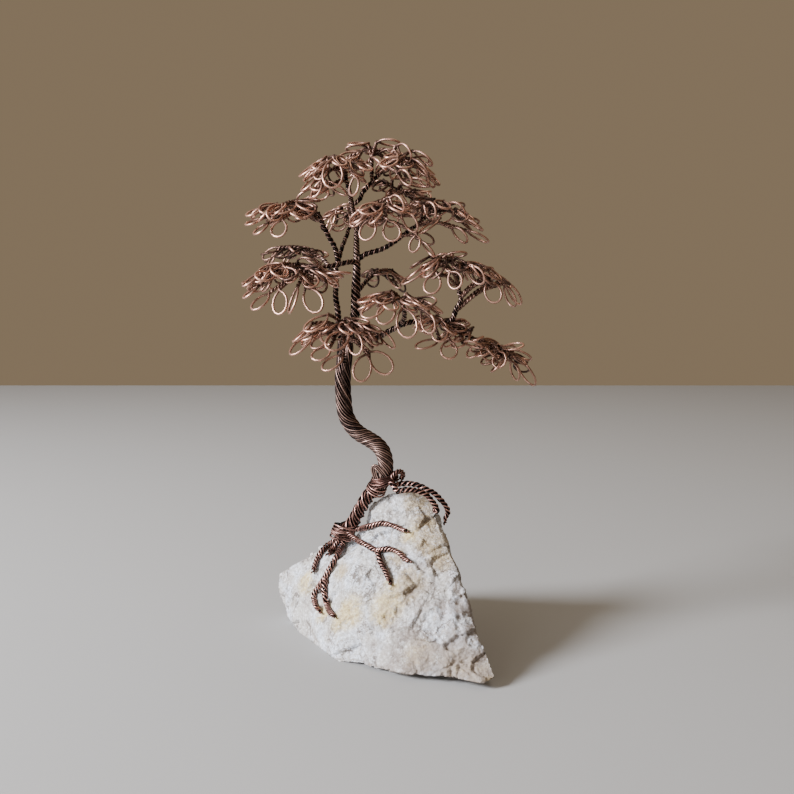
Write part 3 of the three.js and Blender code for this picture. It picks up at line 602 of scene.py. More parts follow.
def leader_thickness(share):
    upward = clamp((share - 0.3) / 0.5)
    return blend(LEADER, LEADER_TIP, upward**2 * (3 - 2 * upward))


def limb_thickness(share):
    return blend(LIMB, LIMB_TIP, share)


TRUNK_STRANDS = 16
TRUNK_LAY = ((0, 36), (0.2, 42), (0.4, 48), (0.55, 36), (0.75, 26), (1, 26))  # share of length, degrees
ROPE_LAY = 47  # the slant of the strands in the leader, the limb and the boughs, in degrees
FOOT_LENGTH = 19.5  # of the thinner bundle between the lower knot and the collar
STEP = 0.5
UNDER_COLLAR = 4  # points that foot and trunk have in common, hidden by the collar
foot_end = round(FOOT_LENGTH / STEP)
whole_line = along(trunk_points, STEP)
foot_line, trunk_line = whole_line[:foot_end], whole_line[foot_end - UNDER_COLLAR :]
leader_line = along(leader_points, 0.6)
limb_line = along(limb_points, 0.6)


def skin_radius(thickness):
    """Where the outer strands of a bundle of that thickness have their middles."""
    return lambda share: (thickness(share) - WIRE) / 2


def trunk_lay(share):
    """The trunk's strands stand steepest under the fork and lie flattest in the swing above the rock."""
    for (a, low), (b, high) in zip(TRUNK_LAY, TRUNK_LAY[1:]):
        if share <= b:
            return blend(low, high, (share - a) / (b - a))
    return TRUNK_LAY[-1][1]


def above_foot(share):
    """The trunk's thickness at a share of the stretch above the collar."""
    foot_share = 1 - len(trunk_line) / len(whole_line)
    return trunk_thickness(foot_share + share * (1 - foot_share))


def painted_shade_towards_end(strands, start, end):
    """Strands whose rub is scaled from one end to the other, as painted light and shade."""
    return [
        [(at, out * blend(start, end, i / len(strand))) for i, (at, out) in enumerate(strand)]
        for strand in strands
    ]


LOOSE = 0.18  # how much further out than in the solids the strands of leader and boughs lie
outer = twisted(trunk_line, TRUNK_STRANDS, skin_radius(above_foot), trunk_lay, sunk=0.13)
# painted light and shade: the trunk's outer strands are brighter at the collar and darker up at the fork,
# where the pads shade them
outer = painted_shade_towards_end(outer, 1.15, 0.92)
inner = twisted(trunk_line, 12, lambda share: (above_foot(share) - 2.6 * WIRE) / 2, trunk_lay)
foot_strands = []  # three cords of five strands each
for carrier in twisted(foot_line, 3, lambda share: 1.12, 44):
    foot_strands += twisted([point for point, _ in carrier], 5, lambda share: 0.54, 10)
leader_strands = twisted(
    leader_line, 9, lambda share: skin_radius(leader_thickness)(share) + LOOSE, ROPE_LAY, sunk=0.22
)
limb_strands = twisted(limb_line, 6, skin_radius(limb_thickness), ROPE_LAY, sunk=0.22)


BEND = 5  # points of either strand that bend where they are joined
LET_GO, PICKED_UP = 3, 5  # points left out at the top of a trunk strand, and at a child's foot


def joined(low, high):
    """A strand that goes on into another one in a soft bend."""
    (a, out_a), (b, out_b) = low[-1], high[0]
    steps = max(2, round((b - a).length / 0.7))
    bridge = [(a.lerp(b, k / steps), out_a.lerp(out_b, k / steps).normalized()) for k in range(1, steps)]
    return eased(low + bridge + high, len(low) - BEND, len(low) + len(bridge) + BEND)


def carry_on(strands, children):
    """Each child strand is led out of the trunk by the strand that ends nearest to its start."""
    free = list(strands)
    led = []
    for child in children:
        best = min(free, key=lambda strand: (strand[-1][0] - child[PICKED_UP][0]).length)
        free.remove(best)
        led.append(joined(best[:-LET_GO], child[PICKED_UP:]))
    return led, free


leader_joined, left = carry_on(outer, leader_strands)
limb_joined, left = carry_on(left, limb_strands)
# the other strands end as the cores of leader and limb, a little way up
core_lines = [line[4:12] for line in (leader_line, limb_line)]
cores = []
for strand in left:
    end, outward = strand[-1]
    core = min(core_lines, key=lambda line: (line[0] - end).length)
    cores.append(joined(strand[:-LET_GO], [(point, outward) for point in core]))
wires("trunk_strands", inner + cores, COPPER_DARK, ["trunk"])
wires("foot_strands", foot_strands, COPPER_ROOT, ["trunk"])
wires("leader_strands", leader_joined, COPPER_DARK, ["leader"])
wires("limb_strands", limb_joined, COPPER_DARK, ["left_limb"])


# The lower knot and the collar


RING_PARTS = 32


def ring(centre, reach, dip, lean, seed):
    """One wire laid once round the bundle. Its front hangs lower by `dip`, its right side by `lean`."""
    strand = []
    for i in range(RING_PARTS + 1):
        angle = i / RING_PARTS * 2 * pi
        outward = Vector((cos(angle), sin(angle), 0))
        wave = 0.3 * noise.noise(Vector((outward.x, outward.y, seed * 3.7)))
        height = outward.y * dip - outward.x * lean + wave
        place = Vector((outward.x * reach[0], outward.y * reach[1], height))
        strand.append((centre + place + outward * wave, outward))
    return strand


def beside(line, count, centre):
    """Parallel wires that lie side by side and pass round a centre."""
    strands = []
    for k in range(count):
        strand = []
        for i, point in enumerate(line):
            outward = (point - centre).normalized()
            step = direction(line, i).cross(outward).normalized() * WIRE * (k - (count - 1) / 2)
            loose = 0.35 * noise.noise_vector(point / 2.5 + Vector((9 * k, 0, 0)))
            strand.append((point + step + loose, outward * 0.8))
        strands.append(strand)
    return strands


def folded(line, count, outward):
    """Wires folded back together, each inside the last."""
    middle = sum(line, Vector()) / len(line)
    flat = (line[len(line) // 2] - line[0]).cross(line[-1] - line[0]).normalized()
    if flat.cross(line[1] - line[0]).dot(middle - line[0]) < 0:
        flat = -flat
    return [
        [(point + flat.cross(direction(line, i)) * WIRE * k, outward) for i, point in enumerate(line)]
        for k in range(count)
    ]


knot_middle, collar_foot, collar_middle = (whole_line[i] for i in (4, 35, 39))
knot = []
for k in range(7):
    level = (k - 3) * 0.48
    knot.append(ring(
        knot_middle + Vector((0.6 * level + 0.1, 0, level)), (2.75 - 0.08 * level**2, 2.0),
        0.5 + 0.12 * (k % 3), 1.2 - 0.25 * k, k,
    ))
for k in range(5):
    level = (k - 2) * 0.5
    knot.append(ring(
        knot_middle + Vector((0.6 * level - 0.2, 0, level - 0.1)), (2.95, 2.3),
        0.7 - 0.2 * k, 0.3 * k - 0.3, k + 20,
    ))
wires("knot_wrap_wires", knot, COPPER_ROOT, ["knot_wrap"])


def from_collar(*points):
    return along([collar_middle + Vector(p) for p in points], 0.3)


collar = beside(from_collar(
    (4.2, -2.4, 2.3), (2.2, -3.1, 1.7), (0.1, -3.1, 1.1), (-1.8, -2.3, 0.7), (-2.6, -0.9, 0.9),
    (-2.1, 0.9, 1.2), (-0.4, 2.1, 1.6), (1.6, 2.1, 2.1), (3, 1, 2.4),
), 4, collar_middle)
collar += beside(from_collar(
    (-2, -1.9, -0.6), (-0.2, -3.1, 0.1), (2, -3.4, 1), (3.6, -2.6, 2), (4, -1, 2.6),
    (2.9, 0.8, 2.6), (1, 1.8, 2.2),
), 3, collar_middle)
for k in range(3):
    level = (k - 1) * 0.5
    collar.append(ring(
        collar_foot + Vector((0.4 * level, -0.2, level)), (2.25, 2), 1.1 - 0.2 * k, 0.7, k + 40
    ))
wires("collar_wrap_wires", collar, COPPER_ROOT, ["collar_wrap"])
wires("cord_end_left_wires", folded(from_collar(
    (2, -2.5, 1.6), (0.5, -2.5, 3.7), (-0.9, -2.2, 5.1), (-2, -1.8, 5.2), (-2.5, -1.5, 4.2),
    (-2.1, -1.4, 2.2), (-1.6, -1.6, 1),
), 3, Vector((-0.4, -0.9, 0))), COPPER_DARK, ["cord_end_left"])
wires("cord_end_right_wires", twisted(from_collar(
    (2.6, -2.6, 1.2), (3.3, -2.8, 2.8), (4.3, -2.4, 3.6), (5.3, -1.6, 3.4), (5.7, -1, 2.4),
    (5, -0.8, 1.2),
), 4, lambda share: 0.47, 42), COPPER_ROOT, ["cord_end_right"])


# The roots

FRONT_OUT = (0, -0.96, 0.28)
OVER_TOP = (0.2, -0.5, 0.84)
ROOT_LAY = 40
ROOT_HEIGHT = 0.47 * ROOT  # of a root's middle over the stone, in which its strands lie a little


def root_cord(line, strands=4):
    """A cord twisted by hand, not quite evenly, whose wires close up and end one after another."""
    radius = (ROOT - WIRE) / 2 + 0.06

    def uneven(share):
        return noise.noise(line[-1] + Vector((14 * share, 0, 0)))

    def closing(share):
        return blend(radius, 0.72 * radius, share) * (1 - 0.45 * max(0, share - 0.9) / 0.1)

    cord = twisted(
        along(line, 0.3), strands, lambda share: closing(share) + 0.1 * uneven(share),
        lambda share: ROOT_LAY + 12 * uneven(share + 0.5),
    )
    ends = [strand[: len(strand) - 2 * k] for k, strand in enumerate(cord)]
    core = [[(point, 0.0) for point in along(line, 0.6)[:-2]]] if strands == 3 else []
    return core + [strand[:-2] + [(point, 0.5) for point, _ in strand[-2:]] for strand in ends]


def laid(points):
    """A row of points in shares of the rock's width and height, laid on it as seen from the front."""
    return [
        rest_on_rock(point, FRONT_OUT, ROOT_HEIGHT, rock_surface)
        for point in along([on_rock((x, 0, z)) for x, z in points], 1.2)
    ]


ROOTS = {  # the cords of each root, in shares of the rock's width and height
    "root_right_upper": [
        [(-0.14, 0.735), (-0.115, 0.74), (-0.095, 0.745), (-0.03, 0.766), (0.03, 0.745), (0.075, 0.712),
         (0.1, 0.71)],
    ],
    "root_right_lower": [
        [(-0.145, 0.645), (-0.107, 0.616), (-0.055, 0.575), (0, 0.584), (0.047, 0.561), (0.082, 0.508),
         (0.11, 0.497)],
        [(-0.05, 0.575), (-0.036, 0.5), (-0.01, 0.424), (0.015, 0.337)],
    ],
    "root_front": [
        [(-0.225, 0.62), (-0.244, 0.545), (-0.278, 0.45), (-0.307, 0.371), (-0.327, 0.329), (-0.355, 0.255),
         (-0.342, 0.184), (-0.313, 0.132)],
        [(-0.3, 0.39), (-0.302, 0.308), (-0.293, 0.226), (-0.278, 0.161), (-0.24, 0.118)],
    ],
    "root_left": [[(-0.275, 0.64), (-0.3, 0.618), (-0.335, 0.553), (-0.355, 0.487), (-0.367, 0.416)]],
    "root_stub": [[(-0.262, 0.61), (-0.28, 0.58), (-0.3, 0.537)]],
}
for name, cords in ROOTS.items():
    strands = []
    for i, points in enumerate(cords):
        line = laid(points)
        if i == 0:
            line = [knot_middle] + line
        strands += root_cord(line)
    wires(name + "_cords", strands, COPPER_ROOT, [name])

FREE_ROOTS = {  # roots over the rock's top, in shares of its width, depth and height
    "root_over_upper": [
        (0.045, -0.03, 1.06), (0.1, -0.04, 1.068), (0.15, -0.05, 1.055), (0.19, -0.06, 1.028),
        (0.218, -0.065, 1.01), (0.247, -0.065, 0.968), (0.275, -0.065, 0.918), (0.285, -0.065, 0.871),
        (0.271, -0.065, 0.829), (0.271, -0.065, 0.787),
    ],
    "root_over_lower": [
        (0.045, -0.09, 1.03), (0.076, -0.09, 1.04), (0.11, -0.09, 1.04), (0.155, -0.09, 1.025),
        (0.185, -0.092, 1.0), (0.208, -0.095, 0.965), (0.225, -0.098, 0.93), (0.234, -0.1, 0.9),
        (0.226, -0.1, 0.885), (0.212, -0.1, 0.925),
    ],
}
for name, points in FREE_ROOTS.items():
    out = Vector(OVER_TOP).normalized()
    line = [collar_middle + Vector((0.8, -2.4, 0.4)), collar_middle + Vector((2.4, -3.2, 1.0))]
    for point in along([on_rock(p) for p in points], 1.0):
        rested = rest_on_rock(point, OVER_TOP, ROOT_HEIGHT, rock_surface)
        line.append(rested if (rested - point).dot(out) > 0 else point)
    wires(name + "_cords", root_cord(line, 3), COPPER_ROOT, [name])


# The boughs
# Lengths are in hundredths of the tree, but a thickness is in millimetres. All is as in the solids,
# except that the leaves of crown_top lie 0.1 lower, and that they have no fans without twigs.
# A bough has three rows: the points of its stem, its fans and its leaves. A fan is a low dome of
# leaves: `reach` is its half width and half depth, `fall` how far its rim hangs, `lean` its rise to the
# right, and `turned` where its first twig points, in degrees. The larger `spare`, the fewer leaves fill
# it. A bough's `leaves` are those that stand out in the photograph, each with its foot, its tip and how
# wide it looks from the front, from 1 to 0, edge-on.
Fan = namedtuple("Fan", "centre reach fall lean twigs turned spare", defaults=[1])
Bough = namedtuple("Bough", "parent thickness stem fans leaves")
Leaf = namedtuple("Leaf", "foot tip across width")

BOUGHS = {
    "lower_right": Bough("leader", 1.5, [
        (-10.9, 0.3, 44.5), (-7.5, 2.2, 43.8), (-2.9, 3.3, 44.6), (0, 2.2, 46.2), (4.8, 0, 48.6),
        (8, 0, 49.3), (14, 0, 49.1), (17.7, 0, 48.6), (23.4, 0, 44.8), (27.7, 0, 43.4), (32, 0, 42),
        (35.5, 0, 40.5),
    ], [
        Fan((15, 0, 51), (9, 10), 3.5, -0.3, 3, 30), Fan((31, 0, 43), (9, 9), 3, -0.4, 3, 40),
        Fan((25, 0, 46.3), (11, 9), 4, -0.45, 0, 0), Fan((34.3, 0, 40.3), (8.4, 8), 5, -0.6, 0, 60),
    ], [
        (17, -6.5, 44.5, 17, -10, 39.5, 1), (14.5, -5.5, 44.5, 8, -9, 42.5, 0.4),
        (31, -4.5, 41.5, 31.5, -6.5, 37, 0.8), (34.5, 0, 41.5, 41, 1, 38.5, 0.4),
        (36.5, 0, 39.5, 42, 0, 31, 0.4), (35, -1, 38.5, 37, -2, 33, 0.4), (21, -5.5, 43.5, 26, -9, 43, 0.4),
    ]),
    "front_left": Bough("trunk", 1.3, [
        (-12.6, 1, 36.5), (-12.6, -4, 40), (-12.2, -10, 44.5), (-12, -15, 48),
    ], [
        Fan((-12, -17, 50.5), (12, 10), 7, 0.05, 4, 10),
    ], [
        (-10, -21, 47.5, -15.5, -25.5, 43.5, 0.9), (-10, -20, 48, -7.5, -23, 42, 0.9),
        (-5.5, -18.5, 41.5, -7.5, -21, 34.5, 1), (-5, -17.5, 42, 1, -18.5, 36.5, 1),
        (-11.5, -23, 41.5, -16.5, -26.5, 38, 0.6), (-19.5, -22, 47, -25, -25.5, 42, 0.5),
        (-15, -23, 43.5, -19, -26.5, 40.5, 0.7), (-15.5, -22, 52, -21, -26.5, 48, 0.6),
        (-20, -18.5, 49.5, -24.5, -23, 45, 0.15), (-3, -15, 47, 2, -19, 44, 0.6),
    ]),
    "front_right": Bough("lower_right", 1.1, [
        (2.4, 1.1, 47.4), (4.5, -4, 50), (4.5, -9, 53), (3.5, -14, 56),
    ], [
        Fan((3.5, -17.5, 57.5), (12, 9), 4.5, -0.12, 4, 35),
    ], [
        (4, -23, 54, 6, -26.5, 46.5, 1), (1.5, -23, 55.5, -1.5, -26.5, 50, 0.95),
        (-0.5, -22, 55.5, -6, -26.5, 51.5, 0.7), (1, -16.5, 58, -7.5, -21, 55.5, 0.2),
        (9, -20, 53, 12, -23, 47.5, 0.8),
    ]),
    "middle_left": Bough("leader", 1.2, [
        (-8.8, 0, 66), (-11.1, -3.3, 66), (-13.3, -4.4, 65.4), (-16.6, -5.5, 64.8), (-19.3, -6, 64.5),
        (-23, -8, 64.8),
    ], [
        Fan((-26, -9.5, 65.5), (13.5, 10), 5, 0, 4, 30), Fan((-16.5, -7.5, 63.5), (7.5, 8), 4, 0, 0, 0),
    ], [
        (-22, -16.5, 59, -18, -20, 53, 1), (-29, -15.5, 58.5, -28.5, -18.5, 52.5, 0.9),
        (-32, -13, 57.5, -36, -16.5, 53.5, 0.6), (-30, -15.5, 62.5, -34.5, -20, 62, 0.6),
        (-24, -15.5, 59.5, -26, -18.5, 52.5, 0.35), (-34.5, -9, 61, -39.5, -11, 60, 0.25),
        (-35, -11, 59.5, -39, -13, 56.5, 0.25),
    ]),
    "back_left": Bough("left_limb", 1, [
        (-14.7, -0.5, 60.5), (-16.5, 4.5, 64), (-19.5, 9.5, 67.5), (-23, 13, 69.5),
    ], [
        Fan((-28, 15, 71), (10.5, 8.5), 2.5, -0.05, 5, 0),
    ], []),
    "back_centre": Bough("leader", 1, [
        (-9.1, 0, 57), (-6.5, 5, 60.5), (-4, 10, 63),
    ], [
        Fan((-2, 14.5, 64.5), (8.5, 8), 3, 0, 4, 15),
    ], []),
    "arch": Bough("lower_right", 1.3, [
        (17.2, 0, 48.7), (18.7, 0, 50.4), (19.3, 0, 52.5), (20.8, 0, 55.4), (20.2, 0, 58), (19.7, 0, 61),
        (19.6, 0, 65),
    ], [
        Fan((20, 0, 67.5), (15, 10), 6.5, -0.2, 5, 0, 1.5),
    ], [
        (13.5, -6.5, 63, 11.5, -10, 57.5, 0.95), (17, -9, 63.5, 19.5, -11, 59, 0.85),
        (21.5, -6.5, 64.5, 26.5, -10, 61, 0.8), (28, -3.5, 61, 30.5, -5.5, 55, 1),
        (33, 0, 60, 36, 0, 53.5, 0.45), (33.5, 2, 61, 38, 3.5, 54.5, 0.4), (12, -1, 65, 4, -2, 60, 0.25),
        (15.5, -2, 67.5, 22, -3.5, 68.5, 0.3),
    ]),
    "upper_tail": Bough("leader", 1.2, [
        (-8.8, 0, 66.5), (-6.4, 0, 68.2), (-4.2, 0, 68.9), (-1.6, 0, 69.7), (1.4, 0, 71.4), (4, 0, 73.3),
        (7.7, 0, 76.2), (12, 0, 79.5),
    ], [
        Fan((16, 0, 83), (11.5, 9.5), 3, -0.4, 4, 20), Fan((6.5, 0, 73.5), (7, 7), 3, 0.2, 0, 0),
    ], [
        (10, -5.5, 82, 13, -9, 78.5, 0.7), (16.5, -2, 82, 21.5, -4.5, 80, 0.55),
        (17.5, -4.5, 75.5, 22, -6.5, 72, 0.5), (22, 1, 75, 28.5, 1, 72, 0.25),
        (14.5, -6.5, 78, 9, -10, 74, 0.25), (9, -4.5, 72, 13, -5.5, 68, 0.2),
    ]),
    "upper_centre": Bough("leader", 1.1, [
        (-9, 0.9, 74), (-6.5, -4, 77), (-2.5, -8.5, 80),
    ], [
        Fan((-1, -10, 82), (10, 10), 5.5, 0, 4, 50),
    ], [
        (-1, -14.5, 81, -7, -18.5, 79, 0.7), (0.5, -13, 83, 4.5, -16.5, 80, 0.7),
        (-4, -15.5, 77.5, -6, -17.5, 71.5, 0.9), (0, -15.5, 77, 2, -17.5, 71.5, 1),
        (3.5, -13, 79, 8, -15.5, 74.5, 0.7), (8, -11, 73.5, 7, -12, 69, 0.6),
    ]),
    "upper_left": Bough("left_limb", 1.2, [
        (-14.2, 0, 66.5), (-15.1, 1.1, 70.3), (-16.7, 1.1, 73.1), (-18.6, 0, 77.3), (-19.9, -0.5, 80),
        (-23, -2.5, 82),
    ], [
        Fan((-28.5, -3.5, 82.5), (11, 10), 4, 0.1, 5, 25),
    ], [
        (-34, -3.5, 81, -39, -5.5, 79, 0.35), (-34.5, -6.5, 78, -38.5, -9, 76, 0.3),
        (-32.5, -9, 76.5, -36, -11, 73.5, 0.4), (-28.5, -10, 77.5, -30, -12, 73, 0.9),
        (-25, -7.5, 81, -30.5, -11, 79.5, 0.5), (-19.5, -6.5, 81, -24.5, -11, 78, 0.6),
    ]),
    "upper_back": Bough("left_limb", 1, [
        (-14.2, 0, 65.5), (-13.2, 4.4, 70.4), (-11.9, 7, 74), (-10.5, 10, 79),
    ], [
        Fan((-11, 13, 82), (10, 9), 4, 0, 5, 0),
    ], []),
    "crown_left": Bough("leader", 1, [
        (-11.2, 1.1, 87), (-11.8, 0, 89.5), (-12.5, -2, 91.5), (-13, -4, 93),
    ], [
        Fan((-14, -5.5, 95), (9.5, 9.5), 6, 0.1, 4, 60), Fan((-6.5, -4, 95), (8, 8), 4, 0, 0, 0),
        Fan((-18.5, -4, 88.5), (8, 8), 4, 0.45, 0, 0),
    ], [
        (-14.5, -13, 93.5, -14.5, -16.5, 85.5, 1), (-17, -5.5, 94.5, -24, -7.5, 89.5, 0.25),
        (-18.5, -4.5, 90.5, -23.5, -6.5, 85.5, 0.35), (-18, -9, 88, -20, -11, 83.5, 0.5),
        (-7, -4.5, 96, -13.5, -6.5, 94, 0.6), (-9, -10, 89, -9, -12, 84, 0.6),
        (-15.5, -4.5, 87, -21.5, -6.5, 83.5, 0.3),
    ]),
    "crown_right": Bough("leader", 1, [
        (-10.2, 1.1, 82), (-8.1, 1.1, 83.4), (-7.3, 1.1, 85.1), (-5.8, 1.1, 87), (-4.4, 1.1, 88.5),
        (-1.6, 0, 91.1), (2, -1.1, 93.2),
    ], [
        Fan((5.5, -1, 95.5), (9.5, 10), 5, -0.2, 3, 10),
    ], [
        (2.5, -3.5, 98, 6.5, -6.5, 94.5, 0.6), (2.5, -9, 90, 6.5, -12, 87.5, 0.6),
        (3, -9, 94, -1.5, -12, 91.5, 0.6), (8, -3.5, 92, 11, -4.5, 87.5, 0.5),
        (10.5, 1, 92.5, 13, 1, 87, 0.3), (7, 1, 97, 12.5, -1, 93.5, 0.3),
        (5.5, -5, 88.5, 11.5, -7.5, 87, 0.3), (4, 4, 89, 12, 6, 88.5, 0.3),
    ]),
    "crown_top": Bough("crown_right", 0.9, [
        (-4.4, 1.1, 88.5), (-4.6, 2.5, 93), (-4.5, 3.5, 96.5),
    ], [
        Fan((-4, 4, 98.5), (9, 8.5), 2.5, 0.05, 4, 45),
    ], [
        (-5.5, 2, 99.2, -11, 0, 98.9, 0.25), (-3, 1, 99.5, 3.5, 0, 99.2, 0.25),
    ]),
    "upper_right": Bough("leader", 0.9, [
        (-8.9, 0.5, 77), (-6.5, 5, 79.5), (-2.5, 8.5, 83), (1, 9.5, 85.5),
    ], [
        Fan((4.5, 9.5, 87.5), (9, 7.5), 3, -0.15, 4, 20), Fan((0.5, 8.5, 89.8), (9, 7.5), 3, -0.15, 0, 40),
    ], []),
}


def turned(vector, axis, angle):
    return Quaternion(axis, radians(angle)) @ vector


def between(line, parts):
    """A row of points with `parts` steps between each two of the given ones, the first left out."""
    return [a.lerp(b, (k + 1) / parts) for a, b in zip(line, line[1:]) for k in range(parts)]


# What a new leaf has to clear is kept in small boxes of space, for a quick search.
BOX = 3
taken = {}


def box_of(point):
    return tuple(floor(c / BOX) for c in point)


def take(points, radius, bough):
    for point in points:
        taken.setdefault(box_of(point), []).append((point, radius, bough))


def is_clear(points, bough, slack=0.0):
    """Whether a wire along these points passes all others, with a gap to those of other boughs."""
    for point in points:
        for box in product(*((n - 1, n, n + 1) for n in box_of(point))):
            for other, radius, owner in taken.get(box, ()):
                needed = WIRE / 2 + radius + (-slack if owner == bough else GAP)
                if (point - other).length < needed:
                    return False
    return True


# The boughs' stems, each from the axis of its parent.
LEAF_STEPS = 5  # straight lines in the loop of a leaf, as in the solids
PERCENT = TREE_HEIGHT / 100
parents = {
    "trunk": (along(trunk_points, 3), trunk_thickness),
    "leader": (along(leader_points, 3.4), leader_thickness),
    "left_limb": (along(limb_points, 3.4), limb_thickness),
}
for name, (line, thickness) in parents.items():
    take(between(line, 3), thickness(0) / 2, name)
stems = {}
for name, bough in BOUGHS.items():
    parent_line, parent_thickness = parents[bough.parent]
    fine = along(tree_line(*bough.stem), 0.4)
    guide = between(parent_line, 4)
    start = next(n for n, point in enumerate(fine) if all(
        (other - point).length > (parent_thickness(i / len(guide)) + bough.thickness) / 2 + GAP
        for i, other in enumerate(guide)
    ))
    parents[name] = (along(fine, 1), lambda share, width=bough.thickness: width)
    stems[name] = (fine, along(along(fine[start:], 3.5), 1))
    take(along(fine[start:], 0.8), bough.thickness / 2, name)


def inner_reach(fan, share):
    """Half the width and depth for the feet of leaves whose tips are to lie within the fan."""
    return (max(reach * PERCENT - share * LEAF_LENGTH, LEAF_LENGTH / 2) for reach in fan.reach)


def on_dome(fan, dx, dy):
    """How near to its rim a place of a fan's dome is, from 0 to 1, and its height."""
    edge = hypot(dx / fan.reach[0], dy / fan.reach[1]) / PERCENT
    return edge, fan.lean * dx - fan.fall * PERCENT * edge**2


def fan_ends(fan, seed):
    """The ends of a fan's main twigs, evenly turned round its dome."""
    ends = []
    rx, ry = inner_reach(fan, 0.75)
    for i in range(fan.twigs):
        angle = radians(fan.turned + 360 * (i + 0.4 * chance(seed, i)) / fan.twigs)
        dx, dy = cos(angle) * rx, sin(angle) * ry
        ends.append(on_tree(fan.centre) + Vector((dx, dy, on_dome(fan, dx, dy)[1])))
    return ends


def twig_line(stem, used, end):
    """A twig leaves the stem some way before the point nearest to its end, and rises in a low arch."""
    nearest = min(range(len(stem)), key=lambda i: (stem[i] - end).length)
    start = max(0, nearest - floor(0.5 * (stem[nearest] - end).length + 0.5))
    while start in used and start < len(stem) - 1:
        start += 1
    used.add(start)
    middle = stem[start].lerp(end, 0.5)
    middle.z += 0.1 * (stem[start] - end).length
    return along([stem[start], middle, end], 0.5)


def leaf_loop(leaf, foot, steps, fullness):
    """The points of a leaf's loop: out on one side of its axis and back on the other."""
    reached = (1 - cos(pi * (steps - 1) / steps)) / 2 if steps == LEAF_STEPS else 1
    axis = (leaf.tip - foot) / reached
    points = []
    for i in range(1, steps):
        angle = i / steps * 2 * pi
        bulge = sin(angle) * sin(angle / 2) ** fullness
        points.append(foot + axis * (1 - cos(angle)) / 2 + leaf.across * bulge * leaf.width / 2)
    return points


def grown_leaf(foot, heading, seed, turn, droop=45, spread=50, roll=110):
    """A leaf that points onward and down, each time a little differently."""
    yaw = heading + radians(70 * (chance(seed, turn + 3) - 0.5))
    fall = radians(droop + spread * (chance(seed, turn + 11) - 0.5))
    tilt = roll * (chance(seed, turn + 23) - 0.5)
    length = LEAF_LENGTH * (0.88 + 0.24 * chance(seed, turn + 31))
    width = LEAF_WIDTH * (0.8 + 0.3 * chance(seed, turn + 41))
    axis = Vector((cos(yaw), sin(yaw), -tan(fall))).normalized()
    across = turned(axis.cross(Vector((0, 0, 1))).normalized(), axis, tilt)
    return Leaf(foot, foot + axis * length, across, width)


def marked_leaf(row):
    """A leaf that stands out in the photograph."""
    foot, tip = on_tree(row[:3]), on_tree(row[3:6])
    axis = (tip - foot).normalized()
    across = turned(axis.cross(Vector((0, 1, 0))).normalized(), axis, degrees(acos(row[6])))
    return Leaf(foot, tip, across, max(LEAF_WIDTH, 0.68 * (tip - foot).length))


def outline_of(leaf):
    return between([leaf.foot, *leaf_loop(leaf, leaf.foot, LEAF_STEPS, 0.8), leaf.foot], LEAF_STEPS)


TRIES = 12


def within(fan, point):
    """Whether a point is inside the outline of a fan, seen from above."""
    away = (point - on_tree(fan.centre)) * 100 / TREE_HEIGHT
    return hypot(away.x / fan.reach[0], away.y / fan.reach[1]) < 0.97


def grow_leaf(line, seed, name, fan=None, slack=0.0, **habit):
    """The first of some tries at a leaf that is clear of all wires and within its fan, if given."""
    foot, onward = line[-1], line[-1] - line[-3]
    heading = atan2(onward.y, onward.x)
    for i in range(TRIES):
        leaf = grown_leaf(foot, heading, seed, 50 * i, **habit)
        if fan and not within(fan, leaf.tip):
            continue
        outline = outline_of(leaf)
        if is_clear(outline[LEAF_STEPS:-LEAF_STEPS], name, slack):
            take(outline, WIRE / 2, name)
            return leaf
    return None


# The main twigs and the leaves at their ends stand where the solids have them.
grown = {}
for b, (name, bough) in enumerate(BOUGHS.items()):
    used, line = set(), stems[name][1]
    marked = [marked_leaf(row) for row in bough.leaves]
    grown[name] = [
        SimpleNamespace(line=twig_line(line, used, leaf.foot), leaf=leaf, marked=True) for leaf in marked
    ]
    for f, fan in enumerate(bough.fans):
        for end in fan_ends(fan, 10 * b + f):
            if all((leaf.foot - end).length > LEAF_WIDTH * 0.7 for leaf in marked):
                twig = SimpleNamespace(line=twig_line(line, used, end), leaf=None, marked=False)
                grown[name].append(twig)
    for twig in grown[name]:
        take(twig.line, WIRE / 2, name)
        if twig.leaf:
            take(outline_of(twig.leaf), WIRE / 2, name)
for b, name in enumerate(BOUGHS):
    for i, twig in enumerate(grown[name]):
        if not twig.leaf:
            twig.leaf = grow_leaf(twig.line, 100 * b + i, name)

# Then the pads are filled: feet are spread over each dome like seeds in a sunflower, and a short side
# twig joins each to the nearest wire of its bough.
FILL_AREA = 3.4  # square millimetres of the dome for one more leaf
APART = 1.2  # the least distance between two feet
SUNFLOWER = radians(137.5)


def side_twig(foot, onward, network):
    """A side twig from the nearest wire that does not lie ahead of the new leaf."""
    def cost(point):
        away = foot - point
        ahead = max(0.0, -away.dot(onward))
        return away.length + 3 * ahead + (4 if away.length < 1 else 0)

    start = min(network, key=cost)
    middle = start.lerp(foot, 0.5) - Vector((0, 0, 0.1 * (foot - start).length))
    return along([start, middle, foot], 0.4)


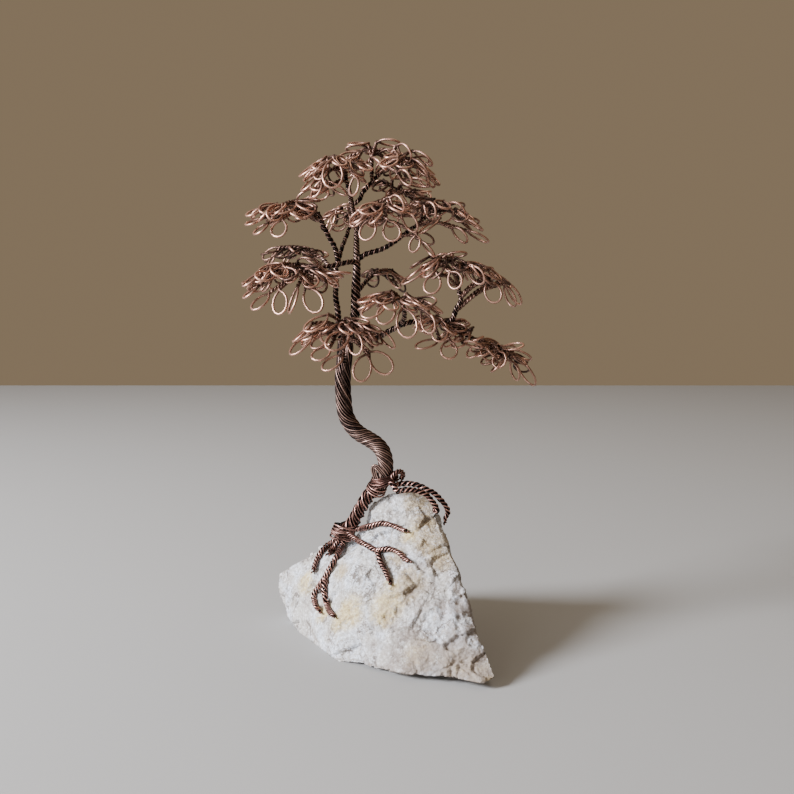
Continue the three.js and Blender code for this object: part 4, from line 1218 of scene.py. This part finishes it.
for b, (name, bough) in enumerate(BOUGHS.items()):
    network = [point for twig in grown[name] if twig.leaf for point in twig.line] + stems[name][1]
    for f, fan in enumerate(bough.fans):
        rx, ry = inner_reach(fan, 0.7)
        count = round(pi * rx * ry / FILL_AREA / fan.spare)
        for i in range(count):
            seed = 1000 + 100 * (10 * b + f) + i
            share = sqrt((i + 0.5) / count)
            angle = radians(fan.turned) + i * SUNFLOWER
            dx, dy = rx * share * cos(angle), ry * share * sin(angle)
            edge, height = on_dome(fan, dx, dy)
            foot = on_tree(fan.centre) + Vector((dx, dy, height + 0.5 - 2.4 * chance(seed, 7)))
            if any((twig.leaf.foot - foot).length < APART for twig in grown[name] if twig.leaf):
                continue
            onward = Vector((cos(angle), sin(angle), 0))
            line = side_twig(foot, onward, network)
            if len(line) < 3:
                continue
            slope = degrees(atan(2 * fan.fall * edge / min(fan.reach)))
            leaf = grow_leaf(
                line[:-2] + [foot - onward, foot - onward / 2, foot], seed, name, fan, slack=0.4,
                droop=0.6 * slope + 6, spread=36, roll=70,
            )
            if leaf:
                grown[name].append(SimpleNamespace(line=line, leaf=leaf, marked=False))
                network += line[1:]

# Each leaf and its twig are one wire, up the twig, round the loop and back down, wound round itself.
LOOP_STEPS = 15
NECK = 0.9  # the two ends of a leaf's wire part half of this past its foot


def leaf_wire(twig, seed, rubbed):
    """The wire of a leaf with numbers for its rub: marked leaves, in front in the light, are bright
    with painted light; the others vary at random, and those of the pads behind get painted shade.
    """
    leaf = twig.leaf
    axis = (leaf.tip - leaf.foot).normalized()
    line = along(twig.line + [leaf.foot + axis * NECK * 0.5], 0.27)
    # painted light on the marked leaves in front
    shine = 0.85 if twig.marked else rubbed * (0.5 + 0.5 * chance(seed, 67))
    out, back = (
        [(point, 0.62 * shine) for point, _ in strand]
        for strand in twisted(line, 2, lambda share: 0.42 * WIRE, 32, end_side=leaf.across)
    )
    sag = Vector((0, 0, -0.5 * chance(seed, 61)))
    loop = []
    for i, point in enumerate(leaf_loop(leaf, line[-1], LOOP_STEPS, 0.35)):
        along_leaf = (1 - cos((i + 1) / LOOP_STEPS * 2 * pi)) / 2
        loop.append((point + sag * along_leaf**2, shine * (0.75 + 0.25 * along_leaf)))
    return out + loop[1:-1] + back[::-1]


for b, (name, bough) in enumerate(BOUGHS.items()):
    slim = (bough.thickness - WIRE) / 2 + LOOSE
    rope = twisted(
        along(stems[name][0], 0.28), max(3, round(bough.thickness / 0.34)),
        lambda share: blend(slim, 0.7 * WIRE, share), ROPE_LAY, sunk=0.15,
    )
    # the strands end one after another, as they part into twigs
    strands = [strand[: round(len(strand) * (1 - 0.12 * k))] for k, strand in enumerate(rope)]
    wires(name + "_stem", strands, COPPER_DARK, [name])
    rubbed = 0.75 if name.startswith("back_") else 1.0  # painted shade: the leaves of the two lowest pads behind are darker
    leaves = [leaf_wire(twig, 100 * b + i, rubbed) for i, twig in enumerate(grown[name]) if twig.leaf]
    wires(name + "_leaves", leaves, COPPER_LEAF, [name], LEAF_WIRE, 6)
